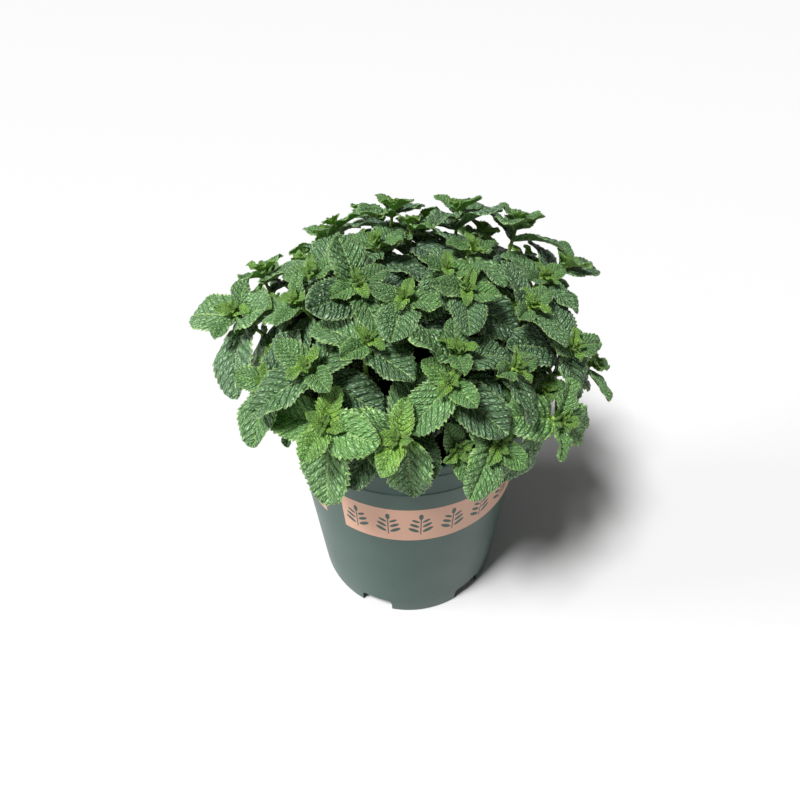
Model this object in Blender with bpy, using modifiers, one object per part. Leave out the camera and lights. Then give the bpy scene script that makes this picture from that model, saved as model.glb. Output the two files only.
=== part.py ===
"""A potted mint plant: a nursery pot, the soil that fills it, and the leafy shoots that stand in the soil.

Metres, +Z up. The origin is on the ground, under the middle of the whole plant's box. The pot's own axis
stands a few millimetres from it, because the foliage spreads further to one side than to the other.
Azimuths are in degrees from the front (-Y) towards the right (+X).
"""

import math
import random
from typing import NamedTuple

import bmesh
import bpy
from mathutils import Matrix, Vector
from mathutils.bvhtree import BVHTree

MM = 0.001

# The pot, a one-gallon nursery pot
POT_HEIGHT = 178 * MM
RIM_RADIUS = 82.5 * MM
FOOT_RADIUS = 67.9 * MM
WALL_FLARE = 0.077  # growth of the wall's radius for each metre of height
WALL = 2.0 * MM
FOOT_WALL = 4.0 * MM
UPPER_LEDGE = 168.4 * MM
LOWER_LEDGE = 151.6 * MM
LEDGE_STEP = 0.8 * MM
LEDGE_SLOPE = 0.8 * MM  # height over which each ledge steps back
WAIST = 0.2 * MM  # how far the wall draws in just under the lower ledge
ROLL_DEPTH = 4.2 * MM  # the rolled lip: its depth, its flat outer band and its two rounded corners
ROLL_BAND = 3.2 * MM
ROLL_OUTER_CORNER = 1.2 * MM
ROLL_INNER_CORNER = 0.8 * MM
ROLL_FLAT = (0.3, 0.7)  # the flat top of the lip, as shares of its width
FLOOR_UNDERSIDE = 13.0 * MM
FLOOR = 2.0 * MM
TURN_STEPS = 54
NOTCHES = 6
NOTCH_WIDTH = 23 * MM
NOTCH_HEIGHT = 12 * MM
NOTCH_AZIMUTH = -20
NOTCH_CUT_DEPTH = 24 * MM  # size of the notches' cutter through the wall and below the ground
NOTCH_CUT_BELOW = 10 * MM
DRAIN_HOLES = 6
DRAIN_RADIUS = 5 * MM
DRAIN_REACH = 42 * MM
DRAIN_SIDES = 16

# The soil, which fills the pot to just under its rim
SOIL_TOP = 160 * MM
SOIL_CROWN = 3 * MM
SOIL_SHOULDERS = ((0.4, 0.8), (0.8, 0.0))  # shares of the foot's radius and of the crown's height
SOIL_EDGE_DROP = 2  # how far the soil sinks at the wall, in crown heights
GAP = 0.3 * MM

# The shoots
STEM_RADIUS = 1.9 * MM
TIP_RADIUS = 0.8 * MM
STEM_POINTS = 8
PLANTED = 9 * MM
ROOT_SHARE = 0.60  # where a stem leaves the soil, as a share of its crown's reach
ROOT_LIMIT = 63 * MM
OUTWARDS_AT_ROOT = 0.12
BEND_SHARE = 0.42  # handles of a stem's curve at its root and at its tip, as shares of its span
TIP_BEND_SHARE = 0.38
RIM_ROOM = 8 * MM  # shoots that reach nearer to the rim than this rise clear of it first
RIM_RISE = 45 * MM
BUD = 5 * MM  # length and radius of the folded leaves at a stem's tip
BUD_RADIUS = 2.2 * MM
BUD_WIDEST = 0.4  # share of the bud's length
BUD_END = 0.3  # share of its radius
BUD_ROOM = 6 * MM  # radius kept free round a bud
LEAF_THICKNESS = 0.8 * MM
LEAF_WIDTH = 0.72  # share of the length
LEAF_BASE = 0.2 * MM  # where a leaf starts, from the middle of its stem
LEAF_SPREAD = 1.2  # share of its length within which a leaf can meet another shoot's stem
LEAF_ROOM = 0.4 * MM  # room between a leaf's clearance and the pot or the soil
CLEARANCE = 0.6 * MM  # room kept round a leaf, more than a touching gap, for its bulges and teeth

# Middle of the whole plant's box, seen from the pot's axis
BOX_MIDDLE = Vector((-10.1 * MM, 8.1 * MM, 0))

# Leaf pairs of a shoot from its tip downwards
LEAF_PAIRS = (
    # mm below the tip, share of the largest leaf, pitch, curl and keel in degrees
    (2.6, 0.55, 30, 22, 22),
    (6.0, 0.90, 14, 28, 16),
    (13.0, 1.08, 3, 34, 11),
    (26.0, 1.08, -6, 40, 9),
    (41.0, 1.00, -12, 44, 9),
)

# How leaves of the same pair differ: degrees of turn, pitch and roll, and factors of size and curl
TURN_SCATTER = 7
PITCH_SCATTER = 6
ROLL_SCATTER = 9
SIZE_SCATTER = (0.94, 1.06)
CURL_SCATTER = (0.7, 1.3)

LOW_PAIR = 4  # this pair and those below it grow into the room that is left
FIRST_SHOOTS = 27  # shoots of the list that grow before the rest
LOWEST_NODE = 14 * MM  # height over the soil

# Cross-rows of a leaf: share of its length, share of its half width
LEAF_ROWS = ((0.22, 0.95), (0.66, 0.90))


class Shoot(NamedTuple):
    azimuth: float
    reach: float
    height: float
    lean: float
    facing: float
    spin: float
    leaf: float
    cup: float = 0


# The shoots of the front and the sides, which differ as a real plant's do: azimuth, reach and height of
# the crown, its lean from upright, how far it faces aside from straight outwards, the turn of its leaf
# pairs about the stem, the length of its largest leaves and, for a cupped crown, how much steeper its
# leaves rise (millimetres and degrees)
FRONT_SHOOTS = (
    Shoot(-92, 106, 221, 25, 60, 10, 46),
    Shoot(-101, 92, 241, 20, -30, 110, 40),
    Shoot(-80, 54, 258, 35, 30, 130, 38),
    Shoot(-110, 20, 268, 5, 0, 0, 34),
    Shoot(-45, 38, 262, 35, 60, 110, 34),
    Shoot(-20, 61, 247, 20, 60, 100, 36),
    Shoot(-40, 80, 233, 25, 0, 80, 42),
    Shoot(-169, 52, 269, 22, -30, 70, 34, 12),
    Shoot(148, 58, 269, 15, 30, 60, 34, 12),
    Shoot(96, 36, 266, 25, 0, 30, 34),
    Shoot(47, 28, 266, 20, 0, 40, 32),
    Shoot(44, 44, 262, 40, -30, 70, 34),
    Shoot(120, 78, 266, 22, 30, 90, 33, 14),
    Shoot(94, 80, 246, 25, -30, 70, 34),
    Shoot(101, 98, 247, 30, 0, 100, 36, 18),
    Shoot(22, 66, 243, 10, 60, 100, 36),
    Shoot(16, 77, 234, 35, -30, 60, 36),
    Shoot(42, 82, 232, 45, 30, 60, 34),
    Shoot(70, 98, 224, 50, -30, 78, 36),
    Shoot(78, 113, 203, 42, 0, 40, 28, 12),
    Shoot(53, 105, 197, 55, -10, 150, 42),
    Shoot(-3, 90, 211, 50, -30, 10, 38),
    Shoot(-28, 92, 211, 35, 30, 155, 40),
    Shoot(30, 94, 197, 55, -20, 50, 38),
    Shoot(-53, 95, 218, 40, 30, 90, 38),
    Shoot(-66, 66, 250, 30, 0, 40, 36),
    Shoot(-3, 38, 260, 20, 0, 80, 36),
    Shoot(-13, 82, 195, 50, 0, 60, 36),
    Shoot(18, 84, 191, 55, 0, 15, 36),
    Shoot(76, 82, 198, 50, 0, 80, 36),
    Shoot(-47, 86, 195, 50, 0, 30, 36),
    Shoot(-74, 84, 208, 45, 0, 75, 36),
    Shoot(-88, 78, 230, 30, 0, 20, 38),
    Shoot(-118, 76, 238, 30, 0, 50, 38),
    Shoot(86, 90, 214, 40, 0, 70, 36),
    Shoot(75, 58, 238, 20, 0, 30, 36),
    Shoot(62, 88, 198, 45, 0, 40, 36),
    Shoot(92, 92, 228, 40, 0, 65, 36),
    Shoot(108, 92, 222, 45, 0, 20, 40),
    Shoot(135, 66, 254, 25, 0, 15, 38),
    Shoot(178, 40, 262, 15, 0, 40, 38),
    Shoot(-140, 76, 252, 25, 0, 25, 38),
    Shoot(70, 72, 246, 25, 0, 75, 36),
    Shoot(-103, 104, 214, 45, 0, 40, 38),
    Shoot(158, 90, 197, 50, 0, 35, 40),
    Shoot(204, 90, 197, 50, 0, 60, 40),
)

# The shoots of the back, in two rings
BACK_RINGS = (
    # first and last azimuth, shoots, reach, height and lean
    (126, 246, 6, 100, 218, 44),
    (143, 224, 4, 76, 247, 30),
)
BACK_LEAF = 40

# How the back's shoots differ from their ring's values, in degrees and millimetres
AZIMUTH_SCATTER = 4
REACH_SCATTER = 7
HEIGHT_SCATTER = 9
LEAN_SCATTER = 8
FACING_SCATTER = 30
LEAF_SCATTER = 3


def polar(azimuth, reach, height):
    """The point at this azimuth, distance from the pot's axis, and height."""
    angle = math.radians(azimuth)
    return Vector((reach * math.sin(angle), -reach * math.cos(angle), height))


def all_shoots():
    """The front's own list, then the back's rings with a seeded scatter."""
    shoots = list(FRONT_SHOOTS)
    scatter = random.Random(5)
    for first, last, count, reach, height, lean in BACK_RINGS:
        step = (last - first) / (count - 1)
        for i in range(count):
            shoots.append(
                Shoot(
                    azimuth=first + step * i + scatter.uniform(-AZIMUTH_SCATTER, AZIMUTH_SCATTER),
                    reach=reach + scatter.uniform(-REACH_SCATTER, REACH_SCATTER),
                    height=height + scatter.uniform(-HEIGHT_SCATTER, HEIGHT_SCATTER),
                    lean=lean + scatter.uniform(-LEAN_SCATTER, LEAN_SCATTER),
                    facing=scatter.uniform(-FACING_SCATTER, FACING_SCATTER),
                    spin=scatter.uniform(0, 90),
                    leaf=BACK_LEAF + scatter.uniform(-LEAF_SCATTER, LEAF_SCATTER),
                )
            )
    return shoots


# ---------------------------------------------------------------- growth


def tip_direction(shoot):
    lean = math.radians(shoot.lean)
    return polar(shoot.azimuth + shoot.facing, math.sin(lean), math.cos(lean))


def stem_path(shoot):
    """The points of a stem, from below the soil's surface to its tip."""
    reach, height = shoot.reach * MM, shoot.height * MM
    root_reach = min(reach * ROOT_SHARE, ROOT_LIMIT)
    outwards = polar(shoot.azimuth, 1, 0)
    tip_way = tip_direction(shoot)
    root = polar(shoot.azimuth, root_reach, SOIL_TOP - PLANTED)
    tip = polar(shoot.azimuth, reach, height)
    length = (tip - root).length
    up = Vector((0, 0, 1)) + outwards * OUTWARDS_AT_ROOT
    rise = BEND_SHARE * length
    if reach > RIM_RADIUS - RIM_ROOM:
        rise = max(rise, RIM_RISE)
    bend_1 = root + up * rise
    bend_2 = tip - tip_way * length * TIP_BEND_SHARE
    points = []
    for i in range(STEM_POINTS):
        t = i / (STEM_POINTS - 1)
        s = 1 - t
        points.append(
            root * s**3
            + bend_1 * (3 * s * s * t)
            + bend_2 * (3 * s * t * t)
            + tip * t**3
        )
    return points


def close_points(path):
    """Points along a stem no further apart than its own radius."""
    for lower, upper in zip(path, path[1:]):
        steps = math.ceil((upper - lower).length / STEM_RADIUS)
        for i in range(steps):
            yield lower.lerp(upper, i / steps)


def point_below_tip(path, distance):
    """The place this far below a stem's tip, and the stem's direction there; None if it is shorter."""
    for upper, lower in zip(reversed(path[1:]), reversed(path[:-1])):
        step = (upper - lower).length
        if distance <= step:
            return upper.lerp(lower, distance / step), (upper - lower).normalized()
        distance -= step
    return None


class LeafPose(NamedTuple):
    frame: Matrix
    length: float
    curl: float
    keel: float


def leaf_pose(shoot, node, along, turn, pitch, length, curl, keel, roll):
    """A leaf's frame: X along its midrib, Z out of its upper face, on a stem's node."""
    outwards = polar(shoot.azimuth + shoot.facing, 1, 0)
    across = (outwards - along * outwards.dot(along)).normalized()
    side = along.cross(across)
    angle = math.radians(turn)
    away = across * math.cos(angle) + side * math.sin(angle)
    pitch = math.radians(pitch)
    x = away * math.cos(pitch) + along * math.sin(pitch)
    z = along * math.cos(pitch) - away * math.sin(pitch)
    y = z.cross(x)
    turned = Matrix.Rotation(math.radians(roll), 3, x)
    y, z = turned @ y, turned @ z
    frame = Matrix.Translation(node + away * LEAF_BASE) @ Matrix((x, y, z)).transposed().to_4x4()
    return LeafPose(frame, length, math.radians(curl), math.radians(keel))


def leaf_point(pose, along, across, lift=0.0):
    """A point of a leaf: along its midrib from 0 to 1, across it from -1 to 1 of half the full width."""
    bend = pose.curl * along
    x = pose.length * math.sin(bend) / pose.curl
    z = -pose.length * (1 - math.cos(bend)) / pose.curl
    half = across * pose.length * LEAF_WIDTH / 2
    y = half * math.cos(pose.keel)
    rise = abs(half) * math.sin(pose.keel) + lift
    return pose.frame @ Vector((x + rise * math.sin(bend), y, z + rise * math.cos(bend)))


def leaf_sheet(pose, margin=0.0, lift=0.0):
    """The open surface of a leaf: its corners, and its faces as lists of corners."""
    grow = 1 + margin / (pose.length * LEAF_WIDTH / 2)
    corners = [leaf_point(pose, 0, 0, lift)]
    for along, across in LEAF_ROWS:
        corners += [leaf_point(pose, along, side * across * grow, lift) for side in (-1, 0, 1)]
    corners.append(leaf_point(pose, 1 + margin / pose.length, 0, lift))
    faces = [(0, 2, 1), (0, 3, 2), (1, 2, 5, 4), (2, 3, 6, 5), (4, 5, 7), (5, 6, 7)]
    return corners, faces


LEAF_OUTLINE = (0, 1, 4, 7, 6, 3)


def leaf_tree(pose):
    """A search tree of the leaf with its thickness and the clearance round it."""
    reach = LEAF_THICKNESS / 2 + CLEARANCE
    upper, faces = leaf_sheet(pose, CLEARANCE, reach)
    lower, _ = leaf_sheet(pose, CLEARANCE, -reach)
    shift = len(upper)
    shell = list(faces) + [tuple(i + shift for i in reversed(face)) for face in faces]
    for a, b in zip(LEAF_OUTLINE, LEAF_OUTLINE[1:] + LEAF_OUTLINE[:1]):
        shell.append((a, b, b + shift, a + shift))
    return BVHTree.FromPolygons(upper + lower, shell)


def leaf_shell(pose):
    """The closed surface of a leaf, thickest along its midrib and sharp at its margin."""
    half = LEAF_THICKNESS / 2
    corners = [leaf_point(pose, 0, 0)]
    for along, across in LEAF_ROWS:
        corners.append(leaf_point(pose, along, -across))
        corners.append(leaf_point(pose, along, 0, half))
        corners.append(leaf_point(pose, along, across))
        corners.append(leaf_point(pose, along, 0, -half))
    corners.append(leaf_point(pose, 1, 0))
    faces = []
    for i in range(4):
        j = (i + 1) % 4
        faces += [(0, 1 + j, 1 + i), (1 + i, 1 + j, 5 + j, 5 + i), (5 + i, 5 + j, 9)]
    return corners, faces


def blade_tree(pose):
    """The leaf's outer blade alone, for its neighbours on the same stem, which it meets at the node."""
    corners, faces = leaf_sheet(pose)
    return BVHTree.FromPolygons(corners, faces[2:])


def pot_tree():
    """A search tree of what a leaf stays clear of: the soil's surface, and the pot's wall and rim."""
    room = GAP + LEAF_ROOM
    floor = SOIL_TOP + SOIL_CROWN + room
    inside = RIM_RADIUS - 2 * WALL - room
    outline = (
        (0, floor),
        (inside, floor),
        (inside, POT_HEIGHT + room),
        (RIM_RADIUS + room, POT_HEIGHT + room),
        (RIM_RADIUS + room, LOWER_LEDGE),
        (FOOT_RADIUS + room, 0),
    )
    azimuths = [360 * i / TURN_STEPS for i in range(TURN_STEPS)]
    points = [polar(azimuth, *corner) for corner in outline for azimuth in azimuths]
    faces = []
    for start in range(0, len(points) - TURN_STEPS, TURN_STEPS):
        for i in range(TURN_STEPS):
            j = (i + 1) % TURN_STEPS
            faces.append((start + i, start + j, start + j + TURN_STEPS, start + i + TURN_STEPS))
    return BVHTree.FromPolygons(points, faces)


class Growth:
    """The leaves placed so far, and the room that is left."""

    def __init__(self, paths):
        self.stems = [list(close_points(path)) for path in paths]
        self.buds = [path[-1] + (path[-1] - path[-2]).normalized() * BUD for path in paths]
        self.pot = pot_tree()
        self.leaves = [[] for _ in paths]

    def is_free(self, owner, pose):
        tree = leaf_tree(pose)
        if tree.overlap(self.pot):
            return False
        base = pose.frame.translation
        for index, stem in enumerate(self.stems):
            if index == owner:
                continue
            near = [point for point in stem if (point - base).length < LEAF_SPREAD * pose.length]
            if any(tree.find_nearest(point, STEM_RADIUS + GAP)[0] is not None for point in near):
                return False
            if tree.find_nearest(self.buds[index], BUD_ROOM)[0] is not None:
                return False
        own_blade = blade_tree(pose)
        for index, placed in enumerate(self.leaves):
            for other, other_tree, other_blade in placed:
                apart = (other.frame.translation - base).length
                if apart > other.length + pose.length:
                    continue
                if index == owner:
                    if own_blade.overlap(other_blade):
                        return False
                elif tree.overlap(other_tree):
                    return False
        return True

    def place(self, owner, pose):
        self.leaves[owner].append((pose, leaf_tree(pose), blade_tree(pose)))


class Change(NamedTuple):
    """What a crowded leaf changes: degrees added to its pitch and turn, factors on its curl and size."""

    pitch: float
    turn: float
    curl: float
    size: float


def change_cost(change):
    """How unwelcome a change is: a smaller leaf counts for more than a turned one."""
    degrees = abs(change.pitch) / 10 + abs(change.turn) / 12
    return degrees + (change.curl - 1) + 14 * (1 - change.size)


# The changes that a crowded leaf tries, the slightest first
YIELDS = sorted(
    (
        Change(pitch, turn, curl, size)
        for pitch in (0, 8, -8, 16, -16, 25, 35)
        for turn in (0, 12, -12, 24, -24)
        for curl in (1, 1.5)
        for size in (1, 0.85, 0.7)
    ),
    key=change_cost,
)


def wanted_leaf(shoot, node, along, scatter, pair, side):
    """The pose that a leaf takes where it has room, as the arguments of leaf_pose."""
    below, share, pitch, curl, keel = LEAF_PAIRS[pair]
    turn = shoot.spin + 90 * (pair % 2) + side
    return {
        "shoot": shoot,
        "node": node,
        "along": along,
        "turn": turn + scatter.uniform(-TURN_SCATTER, TURN_SCATTER),
        "pitch": pitch + shoot.cup + scatter.uniform(-PITCH_SCATTER, PITCH_SCATTER),
        "length": shoot.leaf * MM * share * scatter.uniform(*SIZE_SCATTER),
        "curl": curl * scatter.uniform(*CURL_SCATTER),
        "keel": keel,
        "roll": scatter.uniform(-ROLL_SCATTER, ROLL_SCATTER),
    }


def yielding_pose(wanted, change):
    changed = dict(wanted)
    changed["pitch"] += change.pitch
    changed["turn"] += change.turn
    changed["curl"] *= change.curl
    changed["length"] *= change.size
    return leaf_pose(**changed)


def growing_order(shoots):
    """The crowns seen first take their places first, then the fillers. The low pairs come last."""
    early = [(owner, pair) for pair in range(LOW_PAIR) for owner in range(FIRST_SHOOTS)]
    later = [(owner, pair) for pair in range(LOW_PAIR) for owner in range(FIRST_SHOOTS, len(shoots))]
    low = [(owner, pair) for pair in range(LOW_PAIR, len(LEAF_PAIRS)) for owner in range(len(shoots))]
    return early + later + low


def grow(shoots):
    """The stems of the shoots, and the poses of each shoot's leaves."""
    paths = [stem_path(shoot) for shoot in shoots]
    growth = Growth(paths)
    for owner, pair in growing_order(shoots):
        found = point_below_tip(paths[owner], LEAF_PAIRS[pair][0] * MM)
        if found is None or found[0].z < SOIL_TOP + LOWEST_NODE:
            continue
        for side in (0, 180):
            scatter = random.Random(1000 * owner + 10 * pair + side // 180)
            wanted = wanted_leaf(shoots[owner], *found, scatter, pair, side)
            for change in YIELDS:
                pose = yielding_pose(wanted, change)
                if growth.is_free(owner, pose):
                    growth.place(owner, pose)
                    break
    return paths, [[pose for pose, _, _ in placed] for placed in growth.leaves]


# ---------------------------------------------------------------- modelling


def material(name, color, roughness):
    made = bpy.data.materials.new(name)
    made.use_nodes = True
    shader = made.node_tree.nodes["Principled BSDF"]
    shader.inputs["Base Color"].default_value = (*color, 1)
    shader.inputs["Roughness"].default_value = roughness
    shader.inputs["Metallic"].default_value = 0
    return made


def add_object(name, mesh, collection, parent=None, helper=False):
    made = bpy.data.objects.new(name, mesh)
    collection.objects.link(made)
    made.parent = parent
    if helper:
        made.hide_render = True
        made.display_type = "WIRE"
    return made


def mesh_of(name, points, edges=(), faces=()):
    mesh = bpy.data.meshes.new(name)
    mesh.from_pydata(points, edges, faces)
    return mesh


def turned(name, profile, collection, parent):
    """A shape turned about Z from its profile, which runs down the outer side."""
    edges = [(i, i + 1) for i in range(len(profile) - 1)]
    mesh = mesh_of(name, [(radius, 0, height) for radius, height in profile], edges)
    made = add_object(name, mesh, collection, parent)
    screw = made.modifiers.new("Turn", "SCREW")
    screw.steps = screw.render_steps = TURN_STEPS
    screw.use_merge_vertices = True
    screw.merge_threshold = 0.00001
    return made


def cut(target, cutter, name):
    boolean = target.modifiers.new(name, "BOOLEAN")
    boolean.operation = "DIFFERENCE"
    boolean.object = cutter


def smooth(obj, angle):
    obj.data.shade_smooth()
    obj.data.set_sharp_from_angle(angle=math.radians(angle))


def wall_radius(height):
    return FOOT_RADIUS + WALL_FLARE * height


def pot_profile():
    """The pot's section from the middle of its floor, up the inside, over the rim and down the outside."""
    floor_top = FLOOR_UNDERSIDE + FLOOR
    collar = wall_radius(UPPER_LEDGE) + LEDGE_STEP
    inner_top = collar - WALL
    rolled = RIM_RADIUS - inner_top
    return [
        (0, floor_top),
        (wall_radius(floor_top) - WALL, floor_top),
        (wall_radius(LOWER_LEDGE) - WALL, LOWER_LEDGE),
        (inner_top, UPPER_LEDGE),
        (inner_top, POT_HEIGHT - ROLL_INNER_CORNER),
        (inner_top + ROLL_FLAT[0] * rolled, POT_HEIGHT),
        (inner_top + ROLL_FLAT[1] * rolled, POT_HEIGHT),
        (RIM_RADIUS, POT_HEIGHT - ROLL_OUTER_CORNER),
        (RIM_RADIUS, POT_HEIGHT - ROLL_BAND),
        (collar, POT_HEIGHT - ROLL_DEPTH),
        (collar, UPPER_LEDGE),
        (wall_radius(UPPER_LEDGE), UPPER_LEDGE - LEDGE_SLOPE),
        (wall_radius(LOWER_LEDGE) + LEDGE_STEP, LOWER_LEDGE),
        (wall_radius(LOWER_LEDGE) - WAIST, LOWER_LEDGE - LEDGE_SLOPE),
        (wall_radius(0), 0),
        (wall_radius(0) - FOOT_WALL, 0),
        (wall_radius(FLOOR_UNDERSIDE) - FOOT_WALL, FLOOR_UNDERSIDE),
        (0, FLOOR_UNDERSIDE),
    ]


def pot_cutter(collection, parent):
    """The notches between the feet and the drain holes in the floor, as one helper."""
    shape = bmesh.new()
    for i in range(NOTCHES):
        azimuth = NOTCH_AZIMUTH + 360 / NOTCHES * i
        middle = polar(azimuth, FOOT_RADIUS, (NOTCH_HEIGHT - NOTCH_CUT_BELOW) / 2)
        turn = Matrix.Rotation(math.radians(azimuth), 4, "Z")
        size = Matrix.Diagonal((NOTCH_WIDTH, NOTCH_CUT_DEPTH, NOTCH_HEIGHT + NOTCH_CUT_BELOW, 1))
        bmesh.ops.create_cube(shape, size=1, matrix=Matrix.Translation(middle) @ turn @ size)
    for i in range(DRAIN_HOLES):
        azimuth = NOTCH_AZIMUTH + 360 / DRAIN_HOLES * i
        middle = polar(azimuth, DRAIN_REACH, FLOOR_UNDERSIDE + FLOOR / 2)
        bmesh.ops.create_cone(
            shape,
            cap_ends=True,
            segments=DRAIN_SIDES,
            radius1=DRAIN_RADIUS,
            radius2=DRAIN_RADIUS,
            depth=4 * FLOOR,
            matrix=Matrix.Translation(middle),
        )
    mesh = bpy.data.meshes.new("pot_cutter")
    shape.to_mesh(mesh)
    shape.free()
    return add_object("pot_cutter", mesh, collection, parent, helper=True)


def add_pot(parts, helpers, parent):
    pot = turned("pot", pot_profile(), parts, parent)
    cut(pot, pot_cutter(helpers, parent), "Notches and drain holes")
    smooth(pot, 30)
    pot.data.materials.append(material("grey_green_plastic", (0.12, 0.18, 0.15), 0.45))


def soil_profile():
    """The soil's section from the middle of its crown, down inside the pot's wall and along the floor."""
    floor = FLOOR_UNDERSIDE + FLOOR + GAP
    inset = WALL + 2 * GAP
    shoulders = [(r * FOOT_RADIUS, SOIL_TOP + rise * SOIL_CROWN) for r, rise in SOIL_SHOULDERS]
    return [
        (0, SOIL_TOP + SOIL_CROWN),
        *shoulders,
        (wall_radius(LOWER_LEDGE) - inset, SOIL_TOP - SOIL_EDGE_DROP * SOIL_CROWN),
        (wall_radius(LOWER_LEDGE) - inset, LOWER_LEDGE),
        (wall_radius(floor) - inset, floor),
        (0, floor),
    ]


def add_soil(paths, parts, helpers, parent):
    """The soil, with a pocket that each stem stands in."""
    soil = turned("soil", soil_profile(), parts, parent)
    pockets = add_object("soil_pockets", stems_mesh(paths, GAP), helpers, parent, helper=True)
    cut(soil, pockets, "Pockets")
    smooth(soil, 40)
    soil.data.materials.append(material("dark_soil", (0.02, 0.013, 0.008), 0.95))


def stem_places(path):
    """The points of a stem with their radii: it narrows to its tip, where it ends in a bud."""
    places = []
    for i, place in enumerate(path):
        share = i / (len(path) - 1)
        places.append((place, STEM_RADIUS + (TIP_RADIUS - STEM_RADIUS) * share))
    tip_way = (path[-1] - path[-2]).normalized()
    places.append((path[-1] + tip_way * BUD_WIDEST * BUD, BUD_RADIUS))
    places.append((path[-1] + tip_way * BUD, BUD_END * BUD_RADIUS))
    return places


def stem_mesh(path, widen=0.0):
    """A four-sided stem that narrows to its tip. A widened one cuts the pocket that the stem stands in."""
    curve = bpy.data.curves.new("stem", "CURVE")
    curve.dimensions = "3D"
    curve.bevel_depth = 1
    curve.bevel_resolution = 0
    curve.use_fill_caps = True
    spline = curve.splines.new("POLY")
    places = stem_places(path)
    foot, radius = places[0]
    places[0] = (foot - (path[1] - path[0]).normalized() * widen, radius)
    spline.points.add(len(places) - 1)
    for point, (place, radius) in zip(spline.points, places):
        point.co = (*place, 1)
        point.radius = radius + widen
    helper = bpy.data.objects.new("stem", curve)
    bpy.context.scene.collection.objects.link(helper)
    evaluated = helper.evaluated_get(bpy.context.evaluated_depsgraph_get())
    mesh = bpy.data.meshes.new_from_object(evaluated)
    bpy.data.objects.remove(helper)
    bpy.data.curves.remove(curve)
    welded = bmesh.new()
    welded.from_mesh(mesh)
    bmesh.ops.remove_doubles(welded, verts=welded.verts, dist=0.00001)
    welded.to_mesh(mesh)
    welded.free()
    return mesh


def stems_mesh(paths, widen):
    """All the stems in one mesh, a little wider, to cut their pockets."""
    joined = bmesh.new()
    for path in paths:
        joined.from_mesh(stem_mesh(path, widen))
    mesh = bpy.data.meshes.new("stems")
    joined.to_mesh(mesh)
    joined.free()
    return mesh


def blades_mesh(poses):
    """The closed shells of a shoot's leaves in one mesh."""
    points, faces = [], []
    for pose in poses:
        corners, shell = leaf_shell(pose)
        faces += [tuple(i + len(points) for i in face) for face in shell]
        points += corners
    return mesh_of("leaf_blades", points, (), faces)


def add_shoot(name, path, poses, parts, helpers, parent):
    """One shoot: its square stem, joined with the leaves that grow from it."""
    blades = add_object(name + "_blades", blades_mesh(poses), helpers, parent, helper=True)
    shoot = add_object(name, stem_mesh(path), parts, parent)
    join = shoot.modifiers.new("Leaves", "BOOLEAN")
    join.operation = "UNION"
    join.object = blades
    join.use_self = True
    smooth(shoot, 35)
    return shoot


def main():
    for obj in list(bpy.data.objects):
        bpy.data.objects.remove(obj)
    scene = bpy.context.scene.collection
    parts = bpy.data.collections.new("potted_mint_plant")
    helpers = bpy.data.collections.new("cutters_and_blades")
    scene.children.link(parts)
    scene.children.link(helpers)
    axis = add_object("pot_axis", None, parts)
    axis.location = -BOX_MIDDLE
    shoots = all_shoots()
    paths, leaves = grow(shoots)
    add_pot(parts, helpers, axis)
    add_soil(paths, parts, helpers, axis)
    mint = material("mint_leaf", (0.045, 0.13, 0.05), 0.5)
    for i, (path, poses) in enumerate(zip(paths, leaves)):
        shoot = add_shoot(f"shoot_{i + 1:02d}", path, poses, parts, helpers, axis)
        shoot.data.materials.append(mint)


main()
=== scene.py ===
"""The looks of a potted mint plant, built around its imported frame.

It is laid out as a Blender add-on and run as a script. Metres, +Z up. Azimuths are in degrees from the
front (-Y) towards the right (+X), about the pot's own axis, which the frame's pot node gives.

The shoots grow as they do in the part's construction: the same list of crowns, the same seeded scatter and
the same rule for crowded leaves, so that each detailed leaf lies in the place of its plain one.
"""

import math
import random
from functools import reduce
from itertools import product
from typing import NamedTuple

import bmesh
import bpy
import numpy as np
from bpy.props import FloatProperty, FloatVectorProperty, IntProperty, PointerProperty
from mathutils import Matrix, Vector, noise
from mathutils.bvhtree import BVHTree


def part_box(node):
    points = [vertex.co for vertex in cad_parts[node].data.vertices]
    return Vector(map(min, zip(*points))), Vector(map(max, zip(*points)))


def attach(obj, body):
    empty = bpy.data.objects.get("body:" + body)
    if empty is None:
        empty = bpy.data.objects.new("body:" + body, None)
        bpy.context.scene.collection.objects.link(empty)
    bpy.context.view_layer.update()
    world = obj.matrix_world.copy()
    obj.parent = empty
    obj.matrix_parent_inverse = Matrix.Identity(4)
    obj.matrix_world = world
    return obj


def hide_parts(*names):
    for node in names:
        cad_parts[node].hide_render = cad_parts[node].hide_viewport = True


bl_info = {
    "name": "Potted Mint Plant",
    "version": (1, 0, 0),
    "blender": (4, 5, 0),
    "location": "3D View > Sidebar > Mint Plant",
    "description": "Builds a bushy mint plant in its nursery pot",
    "category": "Object",
}

MM = 0.001

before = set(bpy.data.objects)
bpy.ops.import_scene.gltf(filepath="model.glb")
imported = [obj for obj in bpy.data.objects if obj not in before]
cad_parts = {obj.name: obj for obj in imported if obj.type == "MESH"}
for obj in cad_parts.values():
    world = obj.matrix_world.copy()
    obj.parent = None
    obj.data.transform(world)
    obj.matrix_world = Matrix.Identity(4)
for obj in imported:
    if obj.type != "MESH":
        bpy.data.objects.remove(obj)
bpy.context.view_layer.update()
POT_LOW, POT_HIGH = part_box("pot")
POT_AXIS = Vector(((POT_LOW.x + POT_HIGH.x) / 2, (POT_LOW.y + POT_HIGH.y) / 2, 0))
POT_HEIGHT = POT_HIGH.z
RIM_RADIUS = (POT_HIGH.x - POT_LOW.x) / 2

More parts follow.
